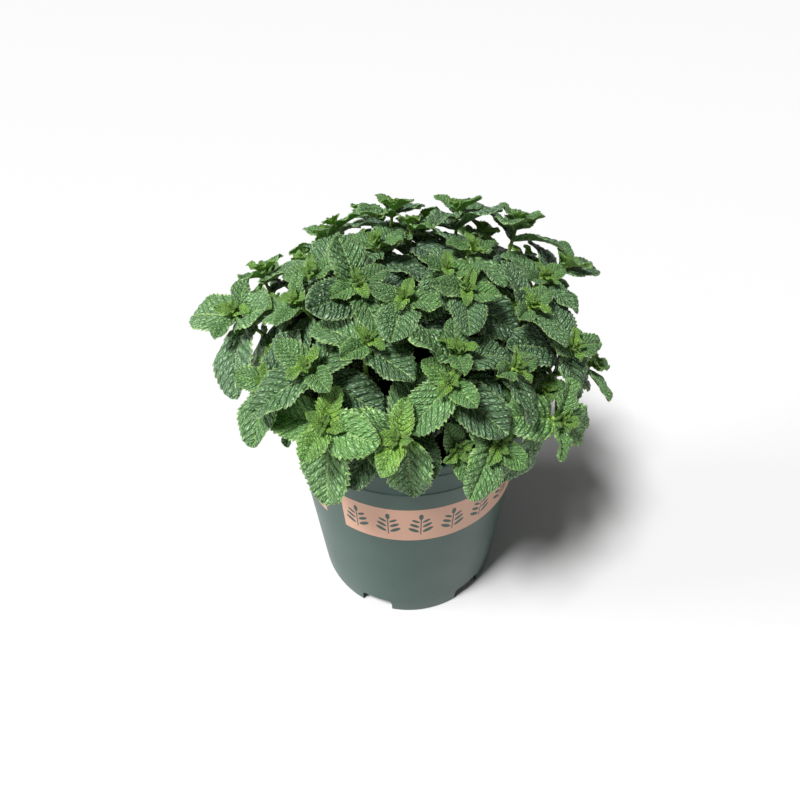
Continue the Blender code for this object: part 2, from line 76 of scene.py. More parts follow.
# The pot
FOOT_RADIUS = 67.9 * MM
WALL_FLARE = 0.077  # growth of the wall's radius for each metre of height
WALL = 2.0 * MM
FOOT_WALL = 4.0 * MM
UPPER_LEDGE = 168.4 * MM
LOWER_LEDGE = 151.6 * MM
LEDGE_STEP = 0.8 * MM
FLOOR_UNDERSIDE = 13.0 * MM
FLOOR = 2.0 * MM
NOTCHES = 6
NOTCH_WIDTH = 23 * MM
NOTCH_HEIGHT = 12 * MM
NOTCH_AZIMUTH = -20
DRAIN_RADIUS = 5 * MM
DRAIN_REACH = 42 * MM

# The soil
SOIL_TOP = 160 * MM
SOIL_CROWN = 3 * MM
GAP = 0.3 * MM

# The shoots
STEM_RADIUS = 1.9 * MM
TIP_RADIUS = 0.8 * MM
STEM_POINTS = 8
PLANTED = 9 * MM  # depth of a stem's foot in the soil
ROOT_SHARE = 0.60  # of the crown's reach, at which a stem leaves the soil
ROOT_LIMIT = 63 * MM
OUTWARDS_AT_ROOT = 0.12
BEND_SHARE = 0.42
TIP_BEND_SHARE = 0.38
RIM_ROOM = 8 * MM
RIM_RISE = 45 * MM  # least height over which a stem that passes the rim goes up first
BUD = 5 * MM
BUD_ROOM = 6 * MM
LEAF_THICKNESS = 0.8 * MM
LEAF_WIDTH = 0.72
LEAF_BASE = 0.2 * MM
LEAF_SPREAD = 1.2  # of a leaf's length, the distance within which other stems are tested
LEAF_ROOM = 0.4 * MM
CLEARANCE = 0.6 * MM
POT_TREE_STEPS = 54

LEAF_PAIRS = (
    # mm below the tip, share of the largest leaf, pitch, curl and keel in degrees
    (2.6, 0.55, 30, 22, 22),
    (6.0, 0.90, 14, 28, 16),
    (13.0, 1.08, 3, 34, 11),
    (26.0, 1.08, -6, 40, 9),
    (41.0, 1.00, -12, 44, 9),
)
TURN_SCATTER = 7
PITCH_SCATTER = 6
ROLL_SCATTER = 9
SIZE_SCATTER = (0.94, 1.06)
CURL_SCATTER = (0.7, 1.3)
LOW_PAIR = 4
FIRST_SHOOTS = 27
LOWEST_NODE = 14 * MM
LEAF_ROWS = ((0.22, 0.95), (0.66, 0.90))


class Shoot(NamedTuple):
    azimuth: float
    reach: float
    height: float
    lean: float
    facing: float
    spin: float
    leaf: float
    cup: float = 0


# The shoots of the front and the sides, which differ as a real plant's do: azimuth, reach and height of
# the crown, its lean from upright, how far it faces aside from straight outwards, the turn of its leaf
# pairs about the stem, the length of its largest leaves and, for a cupped crown, how much steeper its
# leaves rise (millimetres and degrees)
FRONT_SHOOTS = (
    Shoot(-92, 106, 221, 25, 60, 10, 46),
    Shoot(-101, 92, 241, 20, -30, 110, 40),
    Shoot(-80, 54, 258, 35, 30, 130, 38),
    Shoot(-110, 20, 268, 5, 0, 0, 34),
    Shoot(-45, 38, 262, 35, 60, 110, 34),
    Shoot(-20, 61, 247, 20, 60, 100, 36),
    Shoot(-40, 80, 233, 25, 0, 80, 42),
    Shoot(-169, 52, 269, 22, -30, 70, 34, 12),
    Shoot(148, 58, 269, 15, 30, 60, 34, 12),
    Shoot(96, 36, 266, 25, 0, 30, 34),
    Shoot(47, 28, 266, 20, 0, 40, 32),
    Shoot(44, 44, 262, 40, -30, 70, 34),
    Shoot(120, 78, 266, 22, 30, 90, 33, 14),
    Shoot(94, 80, 246, 25, -30, 70, 34),
    Shoot(101, 98, 247, 30, 0, 100, 36, 18),
    Shoot(22, 66, 243, 10, 60, 100, 36),
    Shoot(16, 77, 234, 35, -30, 60, 36),
    Shoot(42, 82, 232, 45, 30, 60, 34),
    Shoot(70, 98, 224, 50, -30, 78, 36),
    Shoot(78, 113, 203, 42, 0, 40, 28, 12),
    Shoot(53, 105, 197, 55, -10, 150, 42),
    Shoot(-3, 90, 211, 50, -30, 10, 38),
    Shoot(-28, 92, 211, 35, 30, 155, 40),
    Shoot(30, 94, 197, 55, -20, 50, 38),
    Shoot(-53, 95, 218, 40, 30, 90, 38),
    Shoot(-66, 66, 250, 30, 0, 40, 36),
    Shoot(-3, 38, 260, 20, 0, 80, 36),
    Shoot(-13, 82, 195, 50, 0, 60, 36),
    Shoot(18, 84, 191, 55, 0, 15, 36),
    Shoot(76, 82, 198, 50, 0, 80, 36),
    Shoot(-47, 86, 195, 50, 0, 30, 36),
    Shoot(-74, 84, 208, 45, 0, 75, 36),
    Shoot(-88, 78, 230, 30, 0, 20, 38),
    Shoot(-118, 76, 238, 30, 0, 50, 38),
    Shoot(86, 90, 214, 40, 0, 70, 36),
    Shoot(75, 58, 238, 20, 0, 30, 36),
    Shoot(62, 88, 198, 45, 0, 40, 36),
    Shoot(92, 92, 228, 40, 0, 65, 36),
    Shoot(108, 92, 222, 45, 0, 20, 40),
    Shoot(135, 66, 254, 25, 0, 15, 38),
    Shoot(178, 40, 262, 15, 0, 40, 38),
    Shoot(-140, 76, 252, 25, 0, 25, 38),
    Shoot(70, 72, 246, 25, 0, 75, 36),
    Shoot(-103, 104, 214, 45, 0, 40, 38),
    Shoot(158, 90, 197, 50, 0, 35, 40),
    Shoot(204, 90, 197, 50, 0, 60, 40),
)

BACK_RINGS = (
    # first and last azimuth, shoots, reach, height and lean
    (126, 246, 6, 100, 218, 44),
    (143, 224, 4, 76, 247, 30),
)
BACK_LEAF = 40
AZIMUTH_SCATTER = 4
REACH_SCATTER = 7
HEIGHT_SCATTER = 9
LEAN_SCATTER = 8
FACING_SCATTER = 30
LEAF_SCATTER = 3


# ---------------------------------------------------------------- growth


def polar(azimuth, reach, height):
    """The point at this azimuth, distance from the pot's axis, and height."""
    angle = math.radians(azimuth)
    return Vector((reach * math.sin(angle), -reach * math.cos(angle), height))


def either_way(scatter, spread):
    """A random number from -spread to spread."""
    return scatter.uniform(-spread, spread)


def all_shoots():
    """The front's own list, then the back's rings with a seeded scatter."""
    shoots = list(FRONT_SHOOTS)
    scatter = random.Random(5)
    for first, last, count, reach, height, lean in BACK_RINGS:
        step = (last - first) / (count - 1)
        for i in range(count):
            shoots.append(
                Shoot(
                    azimuth=first + step * i + either_way(scatter, AZIMUTH_SCATTER),
                    reach=reach + either_way(scatter, REACH_SCATTER),
                    height=height + either_way(scatter, HEIGHT_SCATTER),
                    lean=lean + either_way(scatter, LEAN_SCATTER),
                    facing=either_way(scatter, FACING_SCATTER),
                    spin=scatter.uniform(0, 90),
                    leaf=BACK_LEAF + either_way(scatter, LEAF_SCATTER),
                )
            )
    return shoots


def tip_direction(shoot):
    lean = math.radians(shoot.lean)
    return polar(shoot.azimuth + shoot.facing, math.sin(lean), math.cos(lean))


def stem_curve(shoot, points):
    """This many points of a stem, from below the soil's surface to its tip."""
    reach, height = shoot.reach * MM, shoot.height * MM
    root_reach = min(reach * ROOT_SHARE, ROOT_LIMIT)
    outwards = polar(shoot.azimuth, 1, 0)
    tip_way = tip_direction(shoot)
    root = polar(shoot.azimuth, root_reach, SOIL_TOP - PLANTED)
    tip = polar(shoot.azimuth, reach, height)
    length = (tip - root).length
    up = Vector((0, 0, 1)) + outwards * OUTWARDS_AT_ROOT
    rise = BEND_SHARE * length
    if reach > RIM_RADIUS - RIM_ROOM:
        rise = max(rise, RIM_RISE)
    bend_1 = root + up * rise
    bend_2 = tip - tip_way * length * TIP_BEND_SHARE
    path = []
    for i in range(points):
        t = i / (points - 1)
        s = 1 - t
        early, late = bend_1 * (3 * s * s * t), bend_2 * (3 * s * t * t)
        path.append(root * s**3 + early + late + tip * t**3)
    return path


def close_points(path):
    """Points along a stem no further apart than its own radius."""
    for lower, upper in zip(path, path[1:]):
        steps = math.ceil((upper - lower).length / STEM_RADIUS)
        for i in range(steps):
            yield lower.lerp(upper, i / steps)


def point_below_tip(path, distance):
    """The place this far below a stem's tip, and the stem's direction there; None if it is shorter."""
    for upper, lower in zip(reversed(path[1:]), reversed(path[:-1])):
        step = (upper - lower).length
        if distance <= step:
            return upper.lerp(lower, distance / step), (upper - lower).normalized()
        distance -= step
    return None


class LeafPose(NamedTuple):
    frame: Matrix
    length: float
    curl: float
    keel: float


def leaf_pose(shoot, node, along, turn, pitch, length, curl, keel, roll):
    """A leaf's frame: X along its midrib, Z out of its upper face, on a stem's node."""
    outwards = polar(shoot.azimuth + shoot.facing, 1, 0)
    across = (outwards - along * outwards.dot(along)).normalized()
    side = along.cross(across)
    angle = math.radians(turn)
    away = across * math.cos(angle) + side * math.sin(angle)
    pitch = math.radians(pitch)
    x = away * math.cos(pitch) + along * math.sin(pitch)
    z = along * math.cos(pitch) - away * math.sin(pitch)
    y = z.cross(x)
    turned = Matrix.Rotation(math.radians(roll), 3, x)
    y, z = turned @ y, turned @ z
    place = Matrix.Translation(node + away * LEAF_BASE) @ Matrix((x, y, z)).transposed().to_4x4()
    return LeafPose(place, length, math.radians(curl), math.radians(keel))


def leaf_point(pose, along, across, lift=0.0):
    """A point of a plain leaf: along its midrib from 0 to 1, across it from -1 to 1 of its half width."""
    bend = pose.curl * along
    x = pose.length * math.sin(bend) / pose.curl
    z = -pose.length * (1 - math.cos(bend)) / pose.curl
    half = across * pose.length * LEAF_WIDTH / 2
    y = half * math.cos(pose.keel)
    rise = abs(half) * math.sin(pose.keel) + lift
    return pose.frame @ Vector((x + rise * math.sin(bend), y, z + rise * math.cos(bend)))


def leaf_sheet(pose, margin=0.0, lift=0.0):
    """The open surface of a plain leaf: its corners, and its faces as lists of corners."""
    grow_by = 1 + margin / (pose.length * LEAF_WIDTH / 2)
    corners = [leaf_point(pose, 0, 0, lift)]
    for along, across in LEAF_ROWS:
        corners += [leaf_point(pose, along, side * across * grow_by, lift) for side in (-1, 0, 1)]
    corners.append(leaf_point(pose, 1 + margin / pose.length, 0, lift))
    faces = [(0, 2, 1), (0, 3, 2), (1, 2, 5, 4), (2, 3, 6, 5), (4, 5, 7), (5, 6, 7)]
    return corners, faces


PLAIN_OUTLINE = (0, 1, 4, 7, 6, 3)


def leaf_tree(pose):
    """A search tree of the plain leaf with its thickness and the clearance round it."""
    reach = LEAF_THICKNESS / 2 + CLEARANCE
    upper, faces = leaf_sheet(pose, CLEARANCE, reach)
    lower, _ = leaf_sheet(pose, CLEARANCE, -reach)
    shift = len(upper)
    shell = list(faces) + [tuple(i + shift for i in reversed(face)) for face in faces]
    for a, b in zip(PLAIN_OUTLINE, PLAIN_OUTLINE[1:] + PLAIN_OUTLINE[:1]):
        shell.append((a, b, b + shift, a + shift))
    return BVHTree.FromPolygons(upper + lower, shell)


def blade_tree(pose):
    """The leaf's outer blade alone, for its neighbours on the same stem, which it meets at the node."""
    corners, faces = leaf_sheet(pose)
    return BVHTree.FromPolygons(corners, faces[2:])


def pot_tree():
    """A search tree of what a leaf stays clear of: the soil's surface, and the pot's wall and rim."""
    room = GAP + LEAF_ROOM
    floor = SOIL_TOP + SOIL_CROWN + room
    inside = RIM_RADIUS - 2 * WALL - room
    outline = (
        (0, floor),
        (inside, floor),
        (inside, POT_HEIGHT + room),
        (RIM_RADIUS + room, POT_HEIGHT + room),
        (RIM_RADIUS + room, LOWER_LEDGE),
        (FOOT_RADIUS + room, 0),
    )
    azimuths = [360 * i / POT_TREE_STEPS for i in range(POT_TREE_STEPS)]
    points = [polar(azimuth, *corner) for corner in outline for azimuth in azimuths]
    faces = []
    for start in range(0, len(points) - POT_TREE_STEPS, POT_TREE_STEPS):
        for i in range(POT_TREE_STEPS):
            j = (i + 1) % POT_TREE_STEPS
            above = start + POT_TREE_STEPS
            faces.append((start + i, start + j, above + j, above + i))
    return BVHTree.FromPolygons(points, faces)


class Growth:
    """The leaves placed so far, and the room that is left."""

    def __init__(self, paths):
        self.stems = [list(close_points(path)) for path in paths]
        self.buds = [path[-1] + (path[-1] - path[-2]).normalized() * BUD for path in paths]
        self.pot = pot_tree()
        self.leaves = [[] for _ in paths]

    def is_free(self, owner, pose):
        tree = leaf_tree(pose)
        if tree.overlap(self.pot):
            return False
        base = pose.frame.translation
        for index, stem in enumerate(self.stems):
            if index == owner:
                continue
            near = [point for point in stem if (point - base).length < LEAF_SPREAD * pose.length]
            if any(tree.find_nearest(point, STEM_RADIUS + GAP)[0] is not None for point in near):
                return False
            if tree.find_nearest(self.buds[index], BUD_ROOM)[0] is not None:
                return False
        own_blade = blade_tree(pose)
        for index, placed in enumerate(self.leaves):
            for other, other_tree, other_blade, _ in placed:
                apart = (other.frame.translation - base).length
                if apart > other.length + pose.length:
                    continue
                if index == owner:
                    if own_blade.overlap(other_blade):
                        return False
                elif tree.overlap(other_tree):
                    return False
        return True

    def place(self, owner, pose, pair):
        self.leaves[owner].append((pose, leaf_tree(pose), blade_tree(pose), pair))


PITCH_WORTH = 10  # this many degrees of pitch, or of turn, cost as much as twice the curl
TURN_WORTH = 12
SIZE_COST = 14


def change_cost(change):
    """How unwelcome a change is: a smaller leaf counts for more than a turned one."""
    pitch, turn, curl, size = change
    return abs(pitch) / PITCH_WORTH + abs(turn) / TURN_WORTH + (curl - 1) + SIZE_COST * (1 - size)


# What a crowded leaf may change: degrees added to its pitch and turn, and factors on its curl and size
YIELDS = sorted(
    product((0, 8, -8, 16, -16, 25, 35), (0, 12, -12, 24, -24), (1, 1.5), (1, 0.85, 0.7)),
    key=change_cost,
)


def wanted_leaf(shoot, node, along, scatter, pair, side):
    """The pose that a leaf takes where it has room, as the arguments of leaf_pose."""
    below, share, pitch, curl, keel = LEAF_PAIRS[pair]
    turn = shoot.spin + 90 * (pair % 2) + side
    return {
        "shoot": shoot,
        "node": node,
        "along": along,
        "turn": turn + either_way(scatter, TURN_SCATTER),
        "pitch": pitch + shoot.cup + either_way(scatter, PITCH_SCATTER),
        "length": shoot.leaf * MM * share * scatter.uniform(*SIZE_SCATTER),
        "curl": curl * scatter.uniform(*CURL_SCATTER),
        "keel": keel,
        "roll": either_way(scatter, ROLL_SCATTER),
    }


def yielding_pose(wanted, change):
    pitch, turn, curl, size = change
    changed = dict(wanted)
    changed["pitch"] += pitch
    changed["turn"] += turn
    changed["curl"] *= curl
    changed["length"] *= size
    return leaf_pose(**changed)


def growing_order(shoots):
    """The crowns seen first take their places first, then the fillers, and the low pairs come last."""
    early = [(owner, pair) for pair in range(LOW_PAIR) for owner in range(FIRST_SHOOTS)]
    later = [(owner, pair) for pair in range(LOW_PAIR) for owner in range(FIRST_SHOOTS, len(shoots))]
    low = [(owner, pair) for pair in range(LOW_PAIR, len(LEAF_PAIRS)) for owner in range(len(shoots))]
    return early + later + low


def grow(shoots):
    """Each shoot's leaves, as pairs of a pose and the number of the leaf pair counted from the tip."""
    paths = [stem_curve(shoot, STEM_POINTS) for shoot in shoots]
    growth = Growth(paths)
    for owner, pair in growing_order(shoots):
        found = point_below_tip(paths[owner], LEAF_PAIRS[pair][0] * MM)
        if found is None or found[0].z < SOIL_TOP + LOWEST_NODE:
            continue
        for side in (0, 180):
            scatter = random.Random(1000 * owner + 10 * pair + side // 180)
            wanted = wanted_leaf(shoots[owner], *found, scatter, pair, side)
            for change in YIELDS:
                pose = yielding_pose(wanted, change)
                if growth.is_free(owner, pose):
                    growth.place(owner, pose, pair)
                    break
    return [[(pose, pair) for pose, _, _, pair in placed] for placed in growth.leaves]


# ---------------------------------------------------------------- finishes

# Sockets of a Mix node for colours
MIX_SHARE, MIX_FIRST, MIX_SECOND, MIX_RESULT = 0, 6, 7, 2

# What a shoot's mesh holds for its finishes: the order of its materials, and its attributes
UPPER, UNDER, STEM = range(3)
LEAF_PLACE = "leaf_place"
LEAF_TRAITS = "leaf_traits"
MIDRIB_AT = 0.5


def node_operator(operation):
    """A method that joins a wire and its arguments in a Math node of this operation."""

    def method(self, *others):
        return self.maths(operation, *others)

    return method


class Wire:
    """A socket that Python's operators work on: an expression on it adds the Math nodes it needs."""

    def __init__(self, finish, socket):
        self.finish = finish
        self.socket = socket

    def maths(self, operation, *others):
        inputs = dict(enumerate((self, *others)))
        return self.finish.add("ShaderNodeMath", {"operation": operation}, inputs)["Value"]

    __add__ = __radd__ = node_operator("ADD")
    __sub__ = node_operator("SUBTRACT")
    __mul__ = __rmul__ = node_operator("MULTIPLY")
    __truediv__ = node_operator("DIVIDE")
    __pow__ = node_operator("POWER")
    __mod__ = node_operator("FLOORED_MODULO")
    __lt__ = node_operator("LESS_THAN")
    __gt__ = node_operator("GREATER_THAN")
    __abs__ = node_operator("ABSOLUTE")
    most = node_operator("MAXIMUM")

    def __rsub__(self, other):
        return -1 * self + other

    def rise(self, start, end):
        """0 before start and 1 after end, with a soft slope between them."""
        inputs = {"Value": self, "From Min": start, "From Max": end}
        settings = {"interpolation_type": "SMOOTHSTEP"}
        return self.finish.add("ShaderNodeMapRange", settings, inputs)["Result"]


class Added:
    """A node just added, whose outputs are taken by name."""

    def __init__(self, finish, node):
        self.finish = finish
        self.node = node

    def __getitem__(self, output):
        return Wire(self.finish, self.node.outputs[output])


class Finish:
    """A material with one Principled shader, and the one way in which nodes are added to it."""

    def __init__(self, name, **sockets):
        self.material = bpy.data.materials.new(name)
        self.material.use_nodes = True
        self.tree = self.material.node_tree
        self.give(**sockets)

    def give(self, **sockets):
        """Sets or links sockets of the shader, which are named with _ for a space."""
        shader = self.tree.nodes["Principled BSDF"]
        for name, value in sockets.items():
            self.put(shader.inputs[name.replace("_", " ")], value)

    def put(self, socket, value):
        if isinstance(value, Wire):
            self.tree.links.new(value.socket, socket)
        else:
            socket.default_value = value

    def add(self, kind, settings, inputs):
        node = self.tree.nodes.new(kind)
        for name, value in settings.items():
            setattr(node, name, value)
        for key, value in inputs.items():
            self.put(node.inputs[key], value)
        return Added(self, node)

    def object_place(self):
        return self.add("ShaderNodeTexCoord", {}, {})["Object"]

    def split(self, vector):
        parts = self.add("ShaderNodeSeparateXYZ", {}, {"Vector": vector})
        return parts["X"], parts["Y"], parts["Z"]

    def join(self, x, y, z):
        return self.add("ShaderNodeCombineXYZ", {}, {"X": x, "Y": y, "Z": z})["Vector"]

    def leaf_place(self):
        """How far along the leaf a point lies, and how far to the right of its midrib."""
        along, side, _ = self.split(self.add("ShaderNodeUVMap", {"uv_map": LEAF_PLACE}, {})["UV"])
        return along, side - MIDRIB_AT

    def leaf_traits(self):
        """The freshness and the seed of a leaf, and how near to its margin a point lies."""
        color = self.add("ShaderNodeAttribute", {"attribute_name": LEAF_TRAITS}, {})["Color"]
        parts = self.add("ShaderNodeSeparateColor", {}, {"Color": color})
        return parts["Red"], parts["Green"], parts["Blue"]

    def noise(self, vector, scale, detail, roughness=0.5):
        inputs = {"Vector": vector, "Scale": scale, "Detail": detail, "Roughness": roughness}
        return self.add("ShaderNodeTexNoise", {}, inputs)["Fac"]

    def cell_edges(self, vector, randomness):
        """The distance to the nearest border of irregular cells, one to each unit of the vector."""
        inputs = {"Vector": vector, "Scale": 1.0, "Randomness": randomness}
        return self.add("ShaderNodeTexVoronoi", {"feature": "DISTANCE_TO_EDGE"}, inputs)["Distance"]

    def mix(self, share, first, second):
        """A blend of two colours, each of them a wire or a setting."""
        inputs = {MIX_SHARE: share, MIX_FIRST: color_of(first), MIX_SECOND: color_of(second)}
        return self.add("ShaderNodeMix", {"data_type": "RGBA"}, inputs)[MIX_RESULT]

    def bump(self, height, distance):
        return self.add("ShaderNodeBump", {}, {"Height": height, "Distance": distance})["Normal"]


def color_of(value):
    """A colour with its alpha, or the wire that carries one."""
    return value if isinstance(value, Wire) else (*value[:3], 1.0)


# ---------------------------------------------------------------- meshes


def linked(name, data):
    """A new object of this name, in the scene."""
    made = bpy.data.objects.new(name, data)
    bpy.context.scene.collection.objects.link(made)
    return made


def add_piece(name, mesh, materials, replaced):
    """A finished piece of the object, which stands for a node of the frame and moves with its body."""
    piece = linked(name, mesh)
    for material in materials:
        mesh.materials.append(material)
    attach(piece, "root")
    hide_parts(replaced)


def applied(obj, helpers):
    """The mesh that obj has once its modifiers are evaluated; obj and its helpers are then removed."""
    evaluated = obj.evaluated_get(bpy.context.evaluated_depsgraph_get())
    mesh = bpy.data.meshes.new_from_object(evaluated)
    for helper in (obj, *helpers):
        bpy.data.objects.remove(helper)
    return mesh


def mesh_of(name, shape):
    """A mesh of a finished bmesh, which is then freed."""
    mesh = bpy.data.meshes.new(name)
    shape.to_mesh(mesh)
    shape.free()
    return mesh


def quads(index, turned_over):
    """The four-sided faces between the points of a grid."""
    corners = [index[:-1, :-1], index[1:, :-1], index[1:, 1:], index[:-1, 1:]]
    if turned_over:
        corners.reverse()
    return np.stack([corner.ravel() for corner in corners], axis=-1)


# ---------------------------------------------------------------- the leaves

# A leaf's outline, mesh and net of veins. Lengths are shares of the leaf's length unless a unit is given.
OUTLINE_SHIFT = 0.88  # below 1 it moves the widest place towards the base
OUTLINE_FULLNESS = 2.3
OUTLINE_ROUNDNESS = 0.6
STALK = 0.055
STALK_WIDTH = 0.032
STALK_ROWS = (0.0, 0.03, 0.06)
BLADE_START = STALK_ROWS[-1] + 0.02
TIP_WIDTH = 0.006
VEINS = 6.4  # veins on each side, counted at the base's spacing
VEIN_CROWDING = 0.22
VEIN_SLOPE = 0.85
VEIN_BEND = 0.35
ROW_SWEEP = 0.72  # how far the rows of the mesh sweep forward, as the veins do
SWEEP_POWER = 1.3
EDGE_POWER = 5  # how closely what belongs to the margin keeps to it
TOOTH_RISE = 0.72  # share of a tooth's length over which it rises, before it drops back
TOOTH_LEAN = 0.008
TOOTH_GROWTH = 0.15  # the teeth reach their full depth this far along
TOOTH_FACTORS = (0.5, 1.4)  # least and most that one tooth differs by
TOOTH_SEEDS = 1_000_000  # how many ways there are to vary a leaf's teeth

# A leaf's relief. Depths are given for a leaf of full size.
FULL_SIZE = 40 * MM
RELIEF_POWER = 0.7  # small leaves are puckered more for their size
BLADE = 0.36 * MM
MIDRIB = 0.7 * MM
MIDRIB_WIDTH = 0.022
MIDRIB_TAPER = 0.6
GROOVE_DEPTH = 0.45 * MM  # of the groove that the midrib makes in the upper face
GROOVE_START = 0.1
RIB_HEIGHT = 0.25 * MM  # of the side veins on the underside
RIB_WIDTH = 0.14  # as a share of the space between two side veins
PUCKER_POWER = 0.8
PUCKER_MEAN = 0.55
CELL_SHARE = 0.3  # of the relief that goes to small bulges between the side veins
CELL_TURNS = 44
CELL_SHIFTS = (9, 2.1)  # from leaf to leaf, and from vein to vein
FADES = (0.12, 0.06)  # lengths over which the relief fades in at the base and out at the tip
EDGE_FADE = 0.5
KEEL_EASE = 0.35  # how much flatter the keel is at the margin
ARCH_START = 0.15
WAVE_TURNS = 13
TWIST_MIDDLE = 0.3


class Weave(NamedTuple):
    """How fine a leaf's mesh is: its teeth on each side, and its columns from the midrib to the margin."""

    teeth: int
    columns: tuple


FINE = Weave(13, (0.09, 0.20, 0.32, 0.44, 0.57, 0.70, 0.85, 1.0))
PLAIN = Weave(10, (0.11, 0.26, 0.42, 0.60, 0.80, 1.0))
SMALL = Weave(7, (0.2, 0.5, 0.8, 1.0))
TINY = Weave(5, (0.3, 0.7, 1.0))
FINE_FROM = 24 * MM  # the length from which a leaf has the fine mesh


def soft_step(value):
    value = np.clip(value, 0, 1)
    return value * value * (3 - 2 * value)


def half_outline(along):
    """A leaf's half width at each place along it, as a share of its greatest half width."""
    from_middle = np.abs(2 * np.clip(along, 0, 1) ** OUTLINE_SHIFT - 1)
    body = (1 - from_middle**OUTLINE_FULLNESS) ** OUTLINE_ROUNDNESS
    narrowest = STALK_WIDTH + (TIP_WIDTH - STALK_WIDTH) * along
    return np.maximum(body * soft_step(along / STALK), narrowest)


def vein_phase(along, across):
    """A count that is whole on each side vein, from places on the leaf as arrays or wires."""
    start = along - VEIN_SLOPE * across - VEIN_BEND * (across * across)
    return VEINS * start * (1 + VEIN_CROWDING * start)


class LeafTraits:
    """How one leaf differs from the next. Fresh leaves are more deeply toothed, waved and puckered."""

    def __init__(self, scatter, freshness, settings):
        self.freshness = min(max(freshness, 0), 1)
        self.seed = scatter.random()
        self.width = scatter.uniform(0.66, 0.74)
        self.relief = settings.pucker * scatter.uniform(0.8, 1.15) * (1 + 0.3 * self.freshness)
        self.tooth = settings.tooth_depth * scatter.uniform(0.8, 1.2) * (1 + 0.4 * self.freshness)
        self.wave = scatter.uniform(0.5, 1.7) * (1 + 0.8 * self.freshness) * MM
        self.wave_start = scatter.uniform(0, 2 * math.pi)
        self.twist = either_way(scatter, 0.16)
        self.sideways = either_way(scatter, 0.05)
        self.tip_droop = scatter.uniform(0.0, 0.07)
        self.arch = scatter.uniform(1.4, 3.2) * MM


class Part(NamedTuple):
    """A leaf or a stem: its points, its faces, and what its finish reads at each point."""

    points: np.ndarray
    quads: np.ndarray
    triangles: np.ndarray
    materials: np.ndarray
    place: np.ndarray
    traits: np.ndarray


